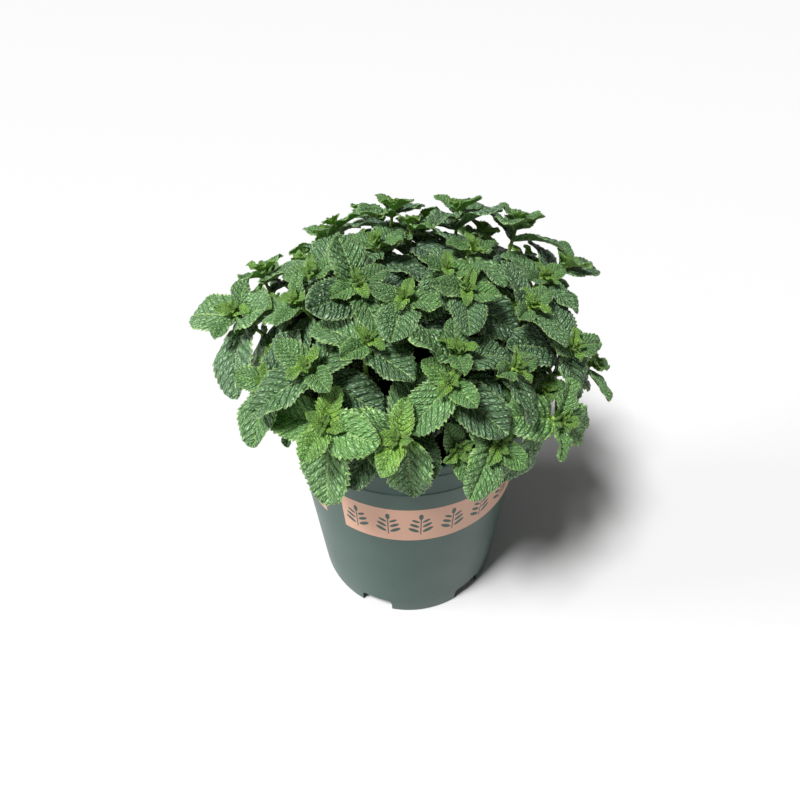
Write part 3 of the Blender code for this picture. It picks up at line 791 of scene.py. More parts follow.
class LeafShape:
    """One leaf on a grid from its base to its tip and from its left margin to its right one."""

    def __init__(self, pose, traits, weave):
        self.pose = pose
        self.traits = traits
        self.spread_grid(weave)
        self.raise_faces()

    def spread_grid(self, weave):
        """Places the grid's points along the leaf and to the sides of its midrib, with the teeth."""
        columns = np.array([-c for c in reversed(weave.columns)] + [0.0] + list(weave.columns))
        starts = np.arange(weave.teeth)[:, None] + np.array([[0, TOOTH_RISE]])
        toothed = BLADE_START + (1 - BLADE_START) * starts.ravel() / weave.teeth
        rows = np.concatenate([STALK_ROWS, toothed, [1.0]])
        tooth = np.concatenate([np.zeros(len(STALK_ROWS)), np.tile([0.0, 1.0], weave.teeth), [0.5]])
        r, s, tooth = rows[:, None], columns[None, :], tooth[:, None]
        edge = np.abs(s) ** EDGE_POWER
        along = r - ROW_SWEEP * (1 - np.abs(s) ** SWEEP_POWER) * r * (1 - r)
        along = along + TOOTH_LEAN * tooth * edge * (1 - r)
        scatter = np.random.default_rng(int(self.traits.seed * TOOTH_SEEDS))
        uneven = scatter.uniform(*TOOTH_FACTORS, (len(rows), 2))[:, (columns > 0).astype(int)]
        toothing = 1 + self.traits.tooth * (tooth - 0.5) * uneven * edge * soft_step(r / TOOTH_GROWTH)
        self.across, self.edge, self.along = s, edge, along
        self.half = s * half_outline(along) * toothing * self.traits.width / 2 * self.pose.length

    def raise_faces(self):
        """Works out how far the upper and the lower face lie above the leaf's plain middle surface."""
        s, edge, along, half, traits = self.across, self.edge, self.along, self.half, self.traits
        size = (self.pose.length / FULL_SIZE) ** RELIEF_POWER
        out = np.abs(half) / self.pose.length
        phase = vein_phase(along, out)
        pucker = np.abs(np.sin(np.pi * phase)) ** PUCKER_POWER - PUCKER_MEAN
        turns = CELL_TURNS * out + CELL_SHIFTS[0] * traits.seed + CELL_SHIFTS[1] * np.floor(phase)
        cells = np.sin(turns) * np.sin(np.pi * phase)
        fade = soft_step(along / FADES[0]) * soft_step((1 - along) / FADES[1]) * (1 - EDGE_FADE * edge)
        groove = np.exp(-((out / MIDRIB_WIDTH) ** 2))
        relief = traits.relief * size * fade * (pucker * (1 - groove) + CELL_SHARE * cells)
        relief = relief - GROOVE_DEPTH * size * groove * soft_step(along / GROOVE_START)

        slope = np.sin(self.pose.keel) * (1 - KEEL_EASE * s * s)
        arch = traits.arch * size * (np.abs(s) - s**4) * soft_step(along / ARCH_START)
        wave = traits.wave * size * s * s * np.sin(WAVE_TURNS * along + traits.wave_start + np.sign(s))
        twisted = half * traits.twist * (along - TWIST_MIDDLE)
        self.upper = np.abs(half) * slope + arch + wave + twisted + relief

        thickness = BLADE * (1 - edge) + MIDRIB * size * groove * (1 - MIDRIB_TAPER * along)
        rib = np.exp(-(((phase - np.round(phase)) / RIB_WIDTH) ** 2))
        self.lower = self.upper - thickness - RIB_HEIGHT * size * rib * (1 - edge) * fade

    def points_at(self, lift):
        """The grid's points at these heights, on the leaf's curled surface."""
        pose, along = self.pose, self.along
        bend = pose.curl * along
        droop = self.traits.tip_droop * pose.length * along**3
        x = pose.length * np.sin(bend) / pose.curl + lift * np.sin(bend)
        y = self.half * math.cos(pose.keel) + self.traits.sideways * pose.length * along**2
        z = -pose.length * (1 - np.cos(bend)) / pose.curl + lift * np.cos(bend) - droop
        place = np.array(pose.frame)
        return np.stack([x, y, z], axis=-1) @ place[:3, :3].T + place[:3, 3]

    def part(self):
        """The closed leaf: both faces, which share the points of the margin."""
        inner = (slice(1, -1), slice(1, -1))
        index = np.arange(self.along.size).reshape(self.along.shape)
        lower_index = index.copy()
        lower_index[inner] = index.size + np.arange(index[inner].size).reshape(index[inner].shape)
        faces = np.concatenate([quads(index, False), quads(lower_index, True)])
        lower_points = self.points_at(self.lower)[inner]
        points = np.concatenate([self.points_at(self.upper).reshape(-1, 3), lower_points.reshape(-1, 3)])

        def both(values):
            """The values of both faces' points, which only differ in place."""
            return np.concatenate([values.ravel(), values[inner].ravel()])

        flat = np.ones(self.along.shape)
        values = (self.traits.freshness * flat, self.traits.seed * flat, np.abs(self.across) * flat, flat)
        return Part(
            points=points,
            quads=faces,
            triangles=np.empty((0, 3), int),
            materials=np.repeat([UPPER, UNDER], len(faces) // 2),
            place=np.stack([both(self.along), MIDRIB_AT + both(self.half / self.pose.length)], axis=-1),
            traits=np.stack([both(value) for value in values], axis=-1),
        )


# ---------------------------------------------------------------- the stems

STEM_SIDES = 12
STEM_STATIONS = 26
SQUARENESS = 0.55  # below 1 the stem's section goes from round towards square
NODE_SWELLING = 0.22
NODE_LENGTH = 2.2 * MM
SHARP_FROM = math.radians(75)

# The folded youngest leaves at each tip: mm past the tip, share of the largest leaf, pitch, curl and keel
TIP_PAIRS = (
    (0.0, 0.30, 42, 30, 30),
    (1.2, 0.19, 56, 26, 34),
    (2.2, 0.11, 70, 22, 38),
)
TIP_TURN_SCATTER = 12
TIP_PITCH_SCATTER = 6
TIP_ROLL_SCATTER = 10
TIP_SIZE_SCATTER = (0.9, 1.15)

# How fresh the leaves of a pair look, from the tip downwards, and the crowns that are fresher than the rest
PAIR_FRESHNESS = (0.6, 0.4, 0.2, 0.08, 0.0)
FRESH_CROWNS = {7: 0.05, 17: 0.15, 20: 0.1, 21: 0.3, 22: 0.35, 23: 0.35, 24: 0.2}
FRESHNESS_SCATTER = 0.12
LOOKS_SEED = 7000  # a shoot's own number is added to it


def stem_section(angle):
    """The radius of a square section with rounded corners, as a share of the stem's radius."""
    power = 2 / SQUARENESS
    return (abs(math.cos(angle)) ** power + abs(math.sin(angle)) ** power) ** (-SQUARENESS / 2)


def stem_part(shoot):
    """The square stem of a shoot, swollen at its nodes and closed at both ends."""
    path = stem_curve(shoot, STEM_STATIONS)
    lengths = [0.0]
    for lower, upper in zip(path, path[1:]):
        lengths.append(lengths[-1] + (upper - lower).length)
    tip_way = tip_direction(shoot)
    side = tip_way.cross(polar(shoot.azimuth + shoot.facing, 1, 0)).normalized()
    nodes = [lengths[-1] - pair[0] * MM for pair in LEAF_PAIRS]
    turn = math.radians(shoot.spin + 45)
    points, ages = [], []
    for i, middle in enumerate(path):
        way = (path[min(i + 1, len(path) - 1)] - path[max(i - 1, 0)]).normalized()
        across = (side - way * side.dot(way)).normalized()
        other = way.cross(across)
        share = lengths[i] / lengths[-1]
        swelling = sum(math.exp(-(((lengths[i] - node) / NODE_LENGTH) ** 2)) for node in nodes)
        radius = STEM_RADIUS + (TIP_RADIUS - STEM_RADIUS) * share
        radius *= 1 + NODE_SWELLING * min(swelling, 1)
        for k in range(STEM_SIDES):
            angle = 2 * math.pi * k / STEM_SIDES
            direction = across * math.cos(angle + turn) + other * math.sin(angle + turn)
            points.append(middle + direction * (radius * stem_section(angle)))
            ages.append(1 - share)
    index = np.arange(len(points)).reshape(len(path), STEM_SIDES)
    index = np.concatenate([index, index[:, :1]], axis=1)
    faces = quads(index, True)
    root, tip = len(points), len(points) + 1
    points += [path[0], path[-1] + tip_way * TIP_RADIUS]
    ages += [1.0, 0.0]
    caps = []
    for k in range(STEM_SIDES):
        caps.append((index[0, k], index[0, k + 1], root))
        caps.append((index[-1, k + 1], index[-1, k], tip))
    return Part(
        points=np.array(points),
        quads=faces,
        triangles=np.array(caps),
        materials=np.full(len(faces), STEM),
        place=np.zeros((len(points), 2)),
        traits=np.stack([ages, ages, ages, np.ones(len(ages))], axis=-1),
    )


def tip_leaves(shoot, scatter):
    """The poses of the folded youngest leaves, past the stem's tip, and the number of each one's pair."""
    tip = stem_curve(shoot, 2)[-1]
    along = tip_direction(shoot)
    poses = []
    for pair, (past, share, pitch, curl, keel) in enumerate(TIP_PAIRS):
        for side in (0, 180):
            spin = shoot.spin + 90 * ((pair + 1) % 2) + side
            pose = leaf_pose(
                shoot=shoot,
                node=tip + along * past * MM,
                along=along,
                turn=spin + either_way(scatter, TIP_TURN_SCATTER),
                pitch=pitch + either_way(scatter, TIP_PITCH_SCATTER),
                length=shoot.leaf * MM * share * scatter.uniform(*TIP_SIZE_SCATTER),
                curl=curl,
                keel=keel,
                roll=either_way(scatter, TIP_ROLL_SCATTER),
            )
            poses.append((pose, pair))
    return poses


def joined(name, parts):
    """One mesh of these parts: the four-sided faces of all, then the triangles, which only a stem has."""
    starts = np.cumsum([0] + [len(part.points) for part in parts])
    points, _, _, materials, places, traits = (np.concatenate(values) for values in zip(*parts))
    four_sided = np.concatenate([part.quads + start for part, start in zip(parts, starts)])
    triangles = np.concatenate([part.triangles + start for part, start in zip(parts, starts)])
    materials = np.append(materials, np.full(len(triangles), STEM))
    mesh = bpy.data.meshes.new(name)
    mesh.from_pydata(points + np.array(POT_AXIS), [], four_sided.tolist() + triangles.tolist())
    corners = np.zeros(len(mesh.loops), np.int32)
    mesh.loops.foreach_get("vertex_index", corners)
    layer = mesh.uv_layers.new(name=LEAF_PLACE)
    layer.data.foreach_set("uv", places[corners].astype(np.float32).ravel())
    layer = mesh.color_attributes.new(name=LEAF_TRAITS, type="FLOAT_COLOR", domain="POINT")
    layer.data.foreach_set("color", traits.astype(np.float32).ravel())
    mesh.polygons.foreach_set("material_index", materials.astype(np.int32))
    mesh.shade_smooth()
    mesh.set_sharp_from_angle(angle=SHARP_FROM)
    return mesh


def shoot_mesh(name, shoot, leaves, owner, settings):
    scatter = random.Random(LOOKS_SEED + owner)
    parts = []
    for pose, pair in leaves:
        freshness = PAIR_FRESHNESS[pair] + FRESH_CROWNS.get(owner + 1, 0)
        freshness += either_way(scatter, FRESHNESS_SCATTER)
        traits = LeafTraits(scatter, freshness, settings)
        parts.append(LeafShape(pose, traits, FINE if pose.length > FINE_FROM else PLAIN).part())
    for pose, pair in tip_leaves(shoot, scatter):
        traits = LeafTraits(scatter, 1.0, settings)
        parts.append(LeafShape(pose, traits, SMALL if pair == 0 else TINY).part())
    parts.append(stem_part(shoot))
    return joined(name, parts)


# ---------------------------------------------------------------- the plant's finishes

# The net of cells between a leaf's side veins, and where its slopes begin and end, in cells
CELLS_ALONG = 1.9  # from one side vein to the next
CELLS_ACROSS = 21  # over a leaf's length, across it
CELL_RANDOMNESS = 0.85
# the cells' rims: outside them the upper face gets painted shade in its grooves, which also shapes the bump
BULGE = (0.0, 0.1)
# where the painted highlight lies on the crest of each bulge
HIGHLIGHT_CREST = (0.03, 0.24)
CELL_SLOPE = (0.0, 0.36)

# Slopes beside a side vein, as shares of the space between two, and beside the midrib and the margin
VEIN_LINE = (0.02, 0.12)
VEIN_SLOPES = (0.0, 0.3)
MIDRIB_LINE = (0.005, 0.018)
# where the painted highlight along the margin lies
MARGIN_HIGHLIGHT = (0.88, 1.0)
VEIN_WANDER = 0.02
UPPER_DEPTH = 1.3 * MM
UNDER_DEPTH = 0.35 * MM


def green_of(finish, settings, along, freshness, seed, patches):
    """A leaf's green without its net: dark and patchy when old, palest at the base of a young leaf."""
    old = finish.mix(patches * 0.7 + seed * 0.6 - 0.15, settings.old_color, settings.dark_color)
    green = finish.mix(freshness.rise(0.0, 0.85), old, settings.fresh_color)
    young = freshness.rise(0.15, 0.7) * (1 - along.rise(0.0, 0.3)) * 0.7
    youngest = freshness.rise(0.8, 1.0) * (1 - along.rise(0.2, 0.9) * 0.6)
    return finish.mix(young.most(youngest), green, settings.tip_color)


def leaf_finish(name, settings, underside):
    """Green tissue that bulges between a net of sunken veins, with a painted highlight on each bulge,
    painted shade in the grooves and a painted highlight along the margin; the underside is paler, with
    raised veins.
    """
    finish = Finish(
        name,
        IOR=1.5,
        Subsurface_Weight=0.2,
        Subsurface_Radius=(0.6, 1.0, 0.3),
        Subsurface_Scale=MM,
    )
    along, side = finish.leaf_place()
    freshness, seed, margin = finish.leaf_traits()
    across = abs(side)
    wander = finish.noise(finish.join(along * 9, side * 9, seed * 40), 1.0, 2.0) - 0.5
    patches = finish.noise(finish.join(along * 3, side * 3, seed * 20), 1.0, 3.0)
    phase = vein_phase(along + wander * VEIN_WANDER, across)
    from_vein = abs((phase + 0.5) % 1.0 - 0.5)
    cells = finish.join(phase * CELLS_ALONG, side * CELLS_ACROSS + wander * 2.0, seed * 50)
    net = finish.cell_edges(cells, CELL_RANDOMNESS)
    bulge = net.rise(*BULGE)
    vein = 1 - from_vein.rise(*VEIN_LINE)
    midrib = 1 - across.rise(*MIDRIB_LINE)
    green = green_of(finish, settings, along, freshness, seed, patches)
    if underside:
        veins = vein.most(midrib)
        pale = finish.mix(freshness.rise(0.1, 0.7), settings.under_color, settings.fresh_under_color)
        color = finish.mix(veins * 0.6, finish.mix(0.6, green, pale), settings.vein_and_edge_highlight_color)
        bump = finish.bump((1 - bulge) * 0.5 + veins * 0.8, UNDER_DEPTH)
    else:
        # Painted shade in the sunken veins and in the grooves between the cells, lighter on a fresh leaf
        groove_shade = ((1 - bulge) * 0.8).most(vein)
        # A painted highlight on the crest of each bulge, where light would catch it, for an old and a young
        # leaf
        bulge_highlight = finish.mix(freshness.rise(0.0, 0.85), settings.bulge_highlight_color, settings.fresh_bulge_highlight_color)
        green = finish.mix(net.rise(*HIGHLIGHT_CREST) * (1 - vein) * 0.3, green, bulge_highlight)
        green = finish.mix(groove_shade * (0.95 - 0.4 * freshness), green, settings.groove_shade_color)
        color = finish.mix(midrib * (0.35 + 0.6 * freshness), green, settings.vein_and_edge_highlight_color)
        # A painted highlight along the margin, where the edge catches light
        color = finish.mix(margin.rise(*MARGIN_HIGHLIGHT) * 0.5, color, settings.vein_and_edge_highlight_color)
        height = net.rise(*CELL_SLOPE) * 0.8 + from_vein.rise(*VEIN_SLOPES) * 0.5
        bump = finish.bump(height, UPPER_DEPTH)
    finish.give(Base_Color=color, Roughness=0.40 + 0.14 * patches - 0.05 * bulge, Normal=bump)
    return finish.material


def stem_finish(settings):
    """Pale yellow-green when young, darker and reddish near the soil."""
    finish = Finish("mint_stem", IOR=1.45, Roughness=0.45)
    age, _, _ = finish.leaf_traits()
    streaks = finish.noise(finish.object_place(), 320.0, 3.0)
    young = finish.mix(age.rise(0.0, 0.5), settings.tip_color, settings.young_color)
    color = finish.mix(age.rise(0.45, 0.95), young, settings.old_color)
    finish.give(Base_Color=finish.mix(streaks * 0.35, color, settings.old_color))
    return finish.material


# ---------------------------------------------------------------- the pot

POT_STEPS = 180
POT_SHARP_FROM = math.radians(38)
MERGE_WITHIN = 0.01 * MM
CORNER_STEPS = 4
CORNER_LIMIT = 0.48  # share of a straight stretch that one rounded corner may take
BEAD_HEIGHT = 1.5 * MM  # of the bead that edges each ledge
BEAD_SLOPE = 0.8 * MM
BEAD_RISE = 0.35 * MM
BEAD_FILLET = 0.2 * MM
LEDGE_DROP = 1.3 * MM  # height over which a ledge's underside falls back to the wall
LIP_HEIGHT = 4 * MM
LIP_DROP = 0.4 * MM
NOTCH_FILLET = 4 * MM
NOTCH_DEPTH = 24 * MM  # of the cutter, which reaches past both sides of the foot ring
NOTCH_OVERLAP = 10 * MM
ABOVE_NOTCHES = (4.5 * MM, 1.5 * MM)  # rings of the wall that keep the notches' creases low
DRAIN_SEGMENTS = 40

# The printed band, and a sprig of it in millimetres: each pair of leaves has its height, reach and size
BAND_LOW = 100.9 * MM
BAND_HIGH = 135.3 * MM
BAND_PANELS = ((-32.25, 135.0), (148.0, 315.0))  # first and last azimuth of each printed panel
SPRIG_STEM = (0.35, -1.0, 9.5)  # half width, middle and half height
SPRIG_PAIRS = ((-5.2, 4.4, 1.0), (0.0, 3.9, 0.88), (4.8, 3.2, 0.72))
SPRIG_LEAF = (3.9, 1.55)
SPRIG_TILT = 38
SPRIG_TOP = 9.3
SPRIG_TOP_LEAF = (3.0, 1.35)
GRAIN_DEPTH = 0.05 * MM


def wall_radius(height):
    return FOOT_RADIUS + WALL_FLARE * height


def rounded(corners):
    """A profile with its corners rounded. Each corner is radius, height and the fillet's radius."""
    points = []
    for i, (radius, height, fillet) in enumerate(corners):
        here = Vector((radius, height))
        if fillet == 0 or i in (0, len(corners) - 1):
            points.append(here)
            continue
        before = Vector(corners[i - 1][:2]) - here
        after = Vector(corners[i + 1][:2]) - here
        reach = fillet / math.tan(before.angle(after) / 2)
        reach = min(reach, CORNER_LIMIT * before.length, CORNER_LIMIT * after.length)
        start, end = here + before.normalized() * reach, here + after.normalized() * reach
        for k in range(CORNER_STEPS + 1):
            t = k / CORNER_STEPS
            points.append(start * (1 - t) ** 2 + here * (2 * t * (1 - t)) + end * t * t)
    return points


def ledge(radius, height, wall, fillet):
    """The corners of a ledge, from its bead down to the wall under it."""
    return [
        (radius, height + BEAD_HEIGHT, BEAD_FILLET),
        (radius + BEAD_RISE, height + BEAD_HEIGHT - BEAD_SLOPE, BEAD_FILLET),
        (radius + BEAD_RISE, height, BEAD_FILLET),
        (wall, height - LEDGE_DROP, fillet),
    ]


def pot_profile():
    """The pot's section from the middle of its floor, up the inside, over the rim and down the outside."""
    floor_top = FLOOR_UNDERSIDE + FLOOR
    collar = wall_radius(UPPER_LEDGE) + LEDGE_STEP
    lower_collar = wall_radius(LOWER_LEDGE) + LEDGE_STEP
    lip_end = POT_HEIGHT - LIP_HEIGHT
    return rounded(
        [
            (0, floor_top, 0),
            (wall_radius(floor_top) - WALL, floor_top, 2 * MM),
            (wall_radius(LOWER_LEDGE) - WALL, LOWER_LEDGE, 4 * MM),
            (collar - WALL, UPPER_LEDGE, 2 * MM),
            (collar - WALL, POT_HEIGHT, 1.4 * MM),
            (RIM_RADIUS, POT_HEIGHT, 1.7 * MM),
            (RIM_RADIUS, lip_end, 0.6 * MM),
            (collar, lip_end - LIP_DROP, 0.5 * MM),
            *ledge(collar, UPPER_LEDGE, wall_radius(UPPER_LEDGE), 0.4 * MM),
            *ledge(lower_collar, LOWER_LEDGE, wall_radius(LOWER_LEDGE) - 0.2 * MM, 0.4 * MM),
            *((wall_radius(NOTCH_HEIGHT + above), NOTCH_HEIGHT + above, 0) for above in ABOVE_NOTCHES),
            (wall_radius(0), 0, 0.9 * MM),
            (wall_radius(0) - FOOT_WALL, 0, 0.6 * MM),
            (wall_radius(FLOOR_UNDERSIDE) - FOOT_WALL, FLOOR_UNDERSIDE, 1.5 * MM),
            (0, FLOOR_UNDERSIDE, 0),
        ]
    )


def add_notch(shape, azimuth):
    """A block through the foot ring, with its upper edges rounded."""
    middle = polar(azimuth, FOOT_RADIUS, (NOTCH_HEIGHT - NOTCH_OVERLAP) / 2)
    turn = Matrix.Rotation(math.radians(azimuth), 4, "Z")
    size = Matrix.Diagonal((NOTCH_WIDTH, NOTCH_DEPTH, NOTCH_HEIGHT + NOTCH_OVERLAP, 1))
    made = bmesh.ops.create_cube(shape, size=1, matrix=Matrix.Translation(middle) @ turn @ size)
    tops = {vert for vert in made["verts"] if vert.co.z > 0}
    outwards = polar(azimuth, 1, 0)
    edges = []
    for edge in shape.edges:
        way = (edge.verts[1].co - edge.verts[0].co).normalized()
        if tops.issuperset(edge.verts) and abs(way.dot(outwards)) > 0.9:
            edges.append(edge)
    bmesh.ops.bevel(shape, geom=edges, offset=NOTCH_FILLET, segments=6, affect="EDGES", profile=0.5)


def pot_cutter():
    """The notches between the feet, and a drain hole in the floor beside each."""
    shape = bmesh.new()
    azimuths = [NOTCH_AZIMUTH + 360 / NOTCHES * i for i in range(NOTCHES)]
    for azimuth in azimuths:
        add_notch(shape, azimuth)
    for azimuth in azimuths:
        middle = polar(azimuth, DRAIN_REACH, FLOOR_UNDERSIDE + FLOOR / 2)
        bmesh.ops.create_cone(
            shape,
            cap_ends=True,
            segments=DRAIN_SEGMENTS,
            radius1=DRAIN_RADIUS,
            radius2=DRAIN_RADIUS,
            depth=4 * FLOOR,
            matrix=Matrix.Translation(middle),
        )
    return linked("pot_cutter", mesh_of("pot_cutter", shape))


def pot_mesh():
    profile = pot_profile()
    mesh = bpy.data.meshes.new("pot_profile")
    steps = [(i, i + 1) for i in range(len(profile) - 1)]
    mesh.from_pydata([(point.x, 0, point.y) for point in profile], steps, [])
    turned = linked("turned_pot", mesh)
    screw = turned.modifiers.new("Turn", "SCREW")
    screw.steps = screw.render_steps = POT_STEPS
    screw.use_merge_vertices = True
    screw.merge_threshold = MERGE_WITHIN
    cutter = pot_cutter()
    boolean = turned.modifiers.new("Notches and drain holes", "BOOLEAN")
    boolean.operation = "DIFFERENCE"
    boolean.object = cutter
    made = applied(turned, [cutter])
    made.transform(Matrix.Translation(POT_AXIS))
    made.shade_smooth()
    made.set_sharp_from_angle(angle=POT_SHARP_FROM)
    return made


def leaf_spot(side, up, middle, tilt, size):
    """1 inside a small leaf of the print: an ellipse about a middle, turned by tilt degrees."""
    angle = math.radians(tilt)
    x, y = side - middle[0], up - middle[1]
    lengthwise = x * math.cos(angle) + y * math.sin(angle)
    crosswise = y * math.cos(angle) - x * math.sin(angle)
    return ((lengthwise / size[0]) ** 2.0 + (crosswise / size[1]) ** 2.0) < 1.0


def sprig(along, up):
    """1 inside a printed sprig: a stem with pairs of leaves and one leaf at its top."""
    side = abs(along)
    half_width, middle, half_height = SPRIG_STEM
    mask = (side < half_width) * (abs(up - middle) < half_height)
    for height, reach, scale in SPRIG_PAIRS:
        size = [length * scale for length in SPRIG_LEAF]
        mask = mask.most(leaf_spot(side, up, (reach, height), SPRIG_TILT, size))
    return mask.most(leaf_spot(side, up, (0.0, SPRIG_TOP), 90, SPRIG_TOP_LEAF))


def band_and_print(azimuth, level, inside, sprig_pitch):
    """1 where the printed band is, and 1 where its sprigs are, each panel with a whole number of them."""
    panels, prints = [], []
    for first, last in BAND_PANELS:
        length = math.radians(last - first) * wall_radius(BAND_LOW) / MM
        pitch = length / round(length / sprig_pitch)
        arc = ((azimuth - first) % 360.0) * (length / (last - first))
        panels.append(inside * (arc < length))
        prints.append(panels[-1] * sprig(arc % pitch - pitch / 2, level))
    return reduce(Wire.most, panels), reduce(Wire.most, prints)


def pot_finish(settings):
    """Satin moulded plastic with a printed band of sprigs in two panels."""
    finish = Finish("pot_plastic_print", IOR=1.36)
    place = finish.object_place()
    x, y, z = finish.split(place)
    x, y, up = (x - POT_AXIS.x) / MM, (POT_AXIS.y - y) / MM, z / MM
    azimuth = x.maths("ARCTAN2", y) * math.degrees(1)
    outside = (x * x + y * y) ** 0.5 > up * WALL_FLARE + (FOOT_RADIUS - WALL / 2) / MM
    level = up - (BAND_LOW + BAND_HIGH) / 2 / MM
    inside = (abs(level) < (BAND_HIGH - BAND_LOW) / 2 / MM) * outside
    band, printed = band_and_print(azimuth, level, inside, settings.sprig_pitch)
    mottle = finish.noise(place, 28.0, 4.0)
    grain = finish.noise(place, 2600.0, 2.0)
    flow = finish.noise(finish.join(x * 0.25, y * 0.25, up * 0.02), 1.0, 3.0)
    plastic = finish.mix(mottle * 0.5 + flow * 0.4, settings.plastic_color, settings.plastic_shade)
    ink = finish.mix(grain * 0.3, settings.band_color, settings.band_shade)
    finish.give(
        Base_Color=finish.mix(band * (1 - printed), plastic, ink),
        Roughness=0.30 + 0.14 * mottle + 0.06 * band,
        Normal=finish.bump(grain * 0.5 + flow * 0.15, GRAIN_DEPTH),
    )
    return finish.material


# ---------------------------------------------------------------- the soil

SOIL_RINGS = 34
SOIL_STEPS = 120
CROWN_EDGE_DROP = 5 * MM
COARSE_LUMPS = (90, 2.4)  # how many to a metre, and their height in millimetres
FINE_LUMPS = (420, 0.9)
CRUMB_SEED = 11
CRUMB_SIZES = (1.0, 3.2)
CRUMB_DENTS = (600, 0.35)  # how many to a metre, and their depth as a share of the crumb's size
CLOD_DEPTH = 0.8 * MM


def soil_rings():
    """Reach, height and roughness of rings from the bumpy crown to the wall, down it and under the plug."""
    edge = wall_radius(LOWER_LEDGE) - WALL - 2 * GAP
    floor = FLOOR_UNDERSIDE + FLOOR + GAP
    for i in range(1, SOIL_RINGS + 1):
        share = i / SOIL_RINGS
        height = SOIL_TOP + SOIL_CROWN * (1 - share**2) - CROWN_EDGE_DROP * share**6
        yield edge * share, height, 1 - share**8
    yield edge, LOWER_LEDGE, 0
    yield wall_radius(floor) - WALL - 2 * GAP, floor, 0


def soil_mesh(settings):
    shape = bmesh.new()
    rings = []
    for reach, height, roughness in soil_rings():
        ring = []
        for k in range(SOIL_STEPS):
            point = polar(360 * k / SOIL_STEPS, reach, height)
            coarse = noise.fractal(point * COARSE_LUMPS[0], 0.9, 2.0, 3) * COARSE_LUMPS[1] * MM
            fine = noise.noise(point * FINE_LUMPS[0]) * FINE_LUMPS[1] * MM
            point.z += (coarse + fine) * roughness
            ring.append(shape.verts.new(point))
        rings.append(ring)
    top = shape.verts.new((0, 0, SOIL_TOP + SOIL_CROWN))
    bottom = shape.verts.new((0, 0, rings[-1][0].co.z))
    for k in range(SOIL_STEPS):
        following = (k + 1) % SOIL_STEPS
        shape.faces.new((top, rings[0][k], rings[0][following]))
        shape.faces.new((bottom, rings[-1][following], rings[-1][k]))
        for inner, outer in zip(rings, rings[1:]):
            shape.faces.new((inner[k], outer[k], outer[following], inner[following]))
    add_crumbs(shape, settings.crumbs)
    bmesh.ops.translate(shape, verts=shape.verts, vec=POT_AXIS)
    bmesh.ops.recalc_face_normals(shape, faces=shape.faces)
    mesh = mesh_of("soil_surface", shape)
    mesh.shade_smooth()
    return mesh


def add_crumbs(shape, count):
    """Lumps of bark and peat that lie half sunk in the surface."""
    scatter = random.Random(CRUMB_SEED)
    noise.seed_set(CRUMB_SEED)  # noise_vector starts from the clock otherwise
    edge = wall_radius(LOWER_LEDGE) - WALL - 6 * MM
    for _ in range(count):
        reach = edge * math.sqrt(scatter.random())
        size = scatter.uniform(*CRUMB_SIZES) * MM
        height = SOIL_TOP + SOIL_CROWN * (1 - (reach / edge) ** 2)
        place = Matrix.Translation(polar(scatter.uniform(0, 360), reach, height))
        turn = Matrix.Rotation(scatter.uniform(0, math.pi), 4, "Z")
        stretch = Matrix.Diagonal((size * scatter.uniform(1, 1.9), size, size * 0.7, 1))
        made = bmesh.ops.create_icosphere(shape, subdivisions=1, radius=1, matrix=place @ turn @ stretch)
        for vert in made["verts"]:
            dents = noise.noise_vector(vert.co * CRUMB_DENTS[0])
            vert.co += dents * CRUMB_DENTS[1] * size


def soil_finish(settings):
    """Dark moist peat with lighter crumbs of bark."""
    finish = Finish("moist_potting_mix", IOR=1.4)
    place = finish.object_place()
    clods = finish.noise(place, 240.0, 5.0, 0.65)
    specks = finish.noise(place, 900.0, 2.0).rise(0.62, 0.72)
    color = finish.mix(clods, settings.peat_color, settings.bark_color)
    finish.give(
        Base_Color=finish.mix(specks * 0.5, color, settings.speck_color),
        Roughness=0.95 - 0.25 * clods,
        Normal=finish.bump(clods, CLOD_DEPTH),
    )
    return finish.material


# ---------------------------------------------------------------- settings


def color(name, description, default):
    return FloatVectorProperty(
        name=name, description=description, default=default, subtype="COLOR", size=3, min=0, max=1
    )


def number(name, description, default, **limits):
    return FloatProperty(name=name, description=description, default=default, **limits)


class MintPotSettings(bpy.types.PropertyGroup):
    """The pot's colours and print."""

    plastic_color: color("Plastic", "Colour of the pot's plastic", (0.034, 0.080, 0.062))
    plastic_shade: color("Plastic shade", "Darker patches of the plastic", (0.026, 0.064, 0.049))
    band_color: color("Band", "Colour of the printed band", (0.61, 0.35, 0.245))
    band_shade: color("Band shade", "Thin places of the print", (0.52, 0.30, 0.21))
    sprig_pitch: number("Sprig pitch", "Millimetres from one printed sprig to the next", 21.0, min=14)


class MintSoilSettings(bpy.types.PropertyGroup):
    """The soil's colours and crumbs."""

    peat_color: color("Peat", "Colour of the moist peat", (0.012, 0.008, 0.005))
    bark_color: color("Bark", "Colour of the bark in it", (0.045, 0.028, 0.016))
    speck_color: color("Specks", "Colour of the pale specks", (0.16, 0.13, 0.1))
    crumbs: IntProperty(name="Crumbs", description="Lumps on the surface", default=260, min=0, max=600)


